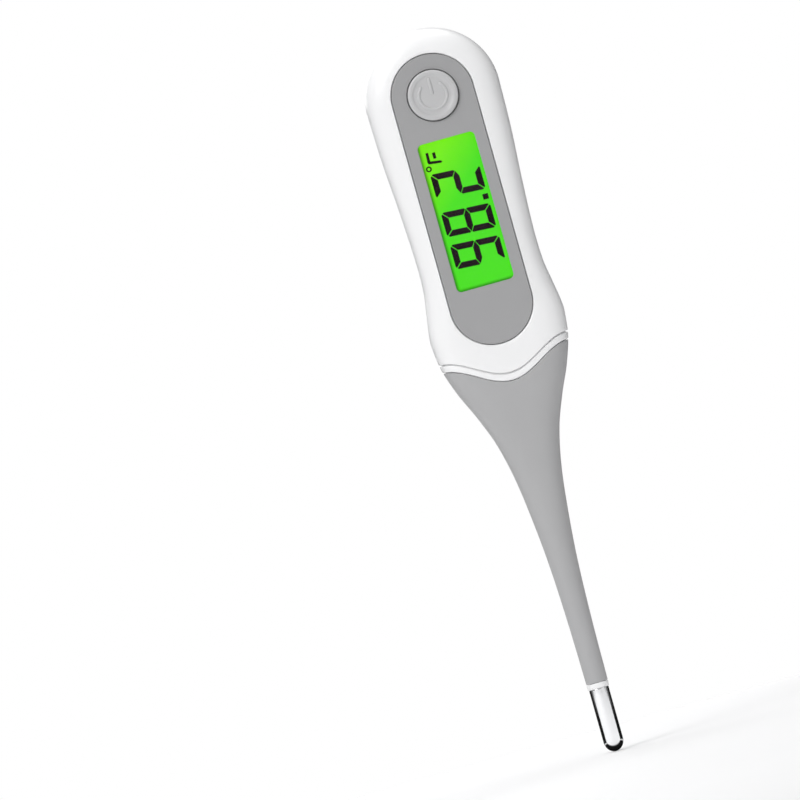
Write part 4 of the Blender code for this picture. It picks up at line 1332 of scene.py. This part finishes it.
def make_camera():
    """A far camera, turned about its view so that the thermometer leans."""
    data = bpy.data.cameras.new("camera")
    camera = bpy.data.objects.new("camera", data)
    bpy.context.scene.collection.objects.link(camera)
    right = Vector((0.9629, 0, -0.2698)).normalized()
    back_way = Vector((0, -1, 0))
    upward = back_way.cross(right)
    distance = 2.2
    frame_height = 0.1472
    data.sensor_width = 36
    data.lens = 36 * (distance - 5 * MM) / frame_height
    data.clip_start, data.clip_end = 0.01, 50
    turn = Matrix((right, upward, back_way)).transposed().to_4x4()
    turn.translation = Vector((-0.02095, -distance, -0.02353))
    camera.matrix_world = turn
    bpy.context.scene.camera = camera


def make_stage():
    """A pale floor under the tip, a soft studio and the camera."""
    bpy.ops.object.select_all(action="DESELECT")
    bpy.ops.mesh.primitive_circle_add(
        vertices=96, radius=0.45, fill_type="NGON", location=(0, -0.3, CAD_BOX[0].z - 0.02 * MM)
    )
    bpy.ops.object.transform_apply(location=True)
    floor = bpy.context.object
    floor.name = "floor"
    floor.data.materials.append(floor_finish())
    make_world()
    softbox("key", (-0.42, -0.55, 0.42), 0.42, 3.2)
    softbox("fill", (0.55, -0.5, 0.1), 0.5, 0.35)
    softbox("top", (0.0, 0.15, 0.65), 0.6, 3.6)
    softbox("rear", (-0.25, 0.6, 0.3), 0.5, 1.6)
    make_camera()
    bpy.context.scene.view_settings.view_transform = "Standard"


def floor_finish():
    """Pale, with a painted dark reflection: glossy rays see it near-black behind the tip, in what
    the tip reflects, as they would a photographer's card.
    """
    made = moulded("floor_pale", (0.86, 0.86, 0.865), 0.02, (0.7, 0.85), 800.0, 0.002, 6.0)
    tree = made.node_tree
    shader = tree.nodes["Principled BSDF"]
    place = node(tree, "ShaderNodeTexCoord").outputs["Object"]
    away = node(tree, "ShaderNodeVectorMath", operation="DISTANCE")
    away.inputs[1].default_value = (0, 0, CAD_BOX[0].z)
    wire(tree, place, away.inputs[0])
    parts = node(tree, "ShaderNodeSeparateXYZ")
    wire(tree, place, parts.inputs["Vector"])
    facing = node(tree, "ShaderNodeLayerWeight").outputs["Facing"]
    glossy = node(tree, "ShaderNodeLightPath").outputs["Is Glossy Ray"]
    # Painted reflection: near and behind the tip, glossy rays see the floor near-black, so the
    # steel tip shows dark edges.
    near = ranged(tree, away.outputs["Value"], 6 * MM, 14 * MM, 1.0, 0.0)
    behind = ranged(tree, parts.outputs["Y"], -3.2 * MM, -2.0 * MM)
    low_ray = ranged(tree, facing, 0.82, 0.93)
    painted_reflection_place = maths(tree, "MULTIPLY", maths(tree, "MAXIMUM", near, low_ray), behind)
    factor = maths(tree, "MULTIPLY", painted_reflection_place, glossy)
    painted_dark_reflection = node(tree, "ShaderNodeBsdfDiffuse", Color=(0.01, 0.01, 0.01, 1))
    out = next(n for n in tree.nodes if n.type == "OUTPUT_MATERIAL")
    mixed = picked(tree, factor, shader.outputs[0], painted_dark_reflection.outputs[0])
    wire(tree, mixed, out.inputs["Surface"])
    return made


# What the sidebar lists


class THERMOMETER_OT_case(bpy.types.Operator):
    """Make the front and back shells and the battery door"""

    bl_idname = "thermometer.case"
    bl_label = "Case"

    def execute(self, context):
        make_front_shell()
        make_back_shell()
        make_battery_door()
        return {"FINISHED"}


class THERMOMETER_OT_band(bpy.types.Operator):
    """Make the wavy white band between case and stem"""

    bl_idname = "thermometer.band"
    bl_label = "Band"

    def execute(self, context):
        make_band()
        return {"FINISHED"}


class THERMOMETER_OT_face(bpy.types.Operator):
    """Make the grey panel and the button with its power symbol"""

    bl_idname = "thermometer.face"
    bl_label = "Panel and button"

    def execute(self, context):
        make_panel()
        make_button()
        return {"FINISHED"}


class THERMOMETER_OT_display(bpy.types.Operator):
    """Make the window, the lit film and the reading's strokes"""

    bl_idname = "thermometer.display"
    bl_label = "Display"

    def execute(self, context):
        make_window()
        make_film()
        make_readout()
        return {"FINISHED"}


class THERMOMETER_OT_stem(bpy.types.Operator):
    """Make the soft stem and the sensor's lead inside it"""

    bl_idname = "thermometer.stem"
    bl_label = "Soft stem"

    def execute(self, context):
        make_stem_root()
        make_stem_bends()
        make_stem_end()
        make_lead()
        return {"FINISHED"}


class THERMOMETER_OT_tip(bpy.types.Operator):
    """Make the steel tip and the white ring above it"""

    bl_idname = "thermometer.tip"
    bl_label = "Tip"

    def execute(self, context):
        make_tip()
        make_seal_ring()
        return {"FINISHED"}


class THERMOMETER_OT_fittings(bpy.types.Operator):
    """Make the screws and the coin cell"""

    bl_idname = "thermometer.fittings"
    bl_label = "Screws and cell"

    def execute(self, context):
        make_screws()
        make_cell()
        return {"FINISHED"}


class THERMOMETER_OT_inner_parts(bpy.types.Operator):
    """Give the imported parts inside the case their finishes"""

    bl_idname = "thermometer.inner_parts"
    bl_label = "Inner parts"

    def execute(self, context):
        for name, finish in inner_finishes().items():
            part = frame["nodes"][name]
            part.data.materials.clear()
            part.data.materials.append(finish)
        return {"FINISHED"}


class THERMOMETER_OT_stage(bpy.types.Operator):
    """Make the floor, the lights and the camera"""

    bl_idname = "thermometer.stage"
    bl_label = "Stage"

    def execute(self, context):
        make_stage()
        return {"FINISHED"}


OPERATORS = (
    THERMOMETER_OT_case,
    THERMOMETER_OT_band,
    THERMOMETER_OT_face,
    THERMOMETER_OT_display,
    THERMOMETER_OT_stem,
    THERMOMETER_OT_tip,
    THERMOMETER_OT_fittings,
    THERMOMETER_OT_inner_parts,
    THERMOMETER_OT_stage,
)


class THERMOMETER_PT_panel(bpy.types.Panel):
    """Sizes, colours and pieces of the thermometer"""

    bl_label = "Thermometer"
    bl_idname = "THERMOMETER_PT_panel"
    bl_space_type = "VIEW_3D"
    bl_region_type = "UI"
    bl_category = "Thermometer"

    def draw(self, context):
        layout = self.layout
        for group in (context.scene.thermometer_sizes, context.scene.thermometer_colours):
            box = layout.box()
            for name in group.__annotations__:
                box.prop(group, name)
        for operator in OPERATORS:
            layout.operator(operator.bl_idname)


CLASSES = (ThermometerSizes, ThermometerColours, *OPERATORS, THERMOMETER_PT_panel)


def register():
    for cls in CLASSES:
        bpy.utils.register_class(cls)
    bpy.types.Scene.thermometer_sizes = bpy.props.PointerProperty(type=ThermometerSizes)
    bpy.types.Scene.thermometer_colours = bpy.props.PointerProperty(type=ThermometerColours)


def unregister():
    del bpy.types.Scene.thermometer_colours
    del bpy.types.Scene.thermometer_sizes
    for cls in reversed(CLASSES):
        bpy.utils.unregister_class(cls)


def main():
    register()
    bpy.ops.thermometer.case()
    bpy.ops.thermometer.band()
    bpy.ops.thermometer.face()
    bpy.ops.thermometer.display()
    bpy.ops.thermometer.stem()
    bpy.ops.thermometer.tip()
    bpy.ops.thermometer.fittings()
    bpy.ops.thermometer.inner_parts()
    bpy.ops.thermometer.stage()


if __name__ == "__main__":
    main()
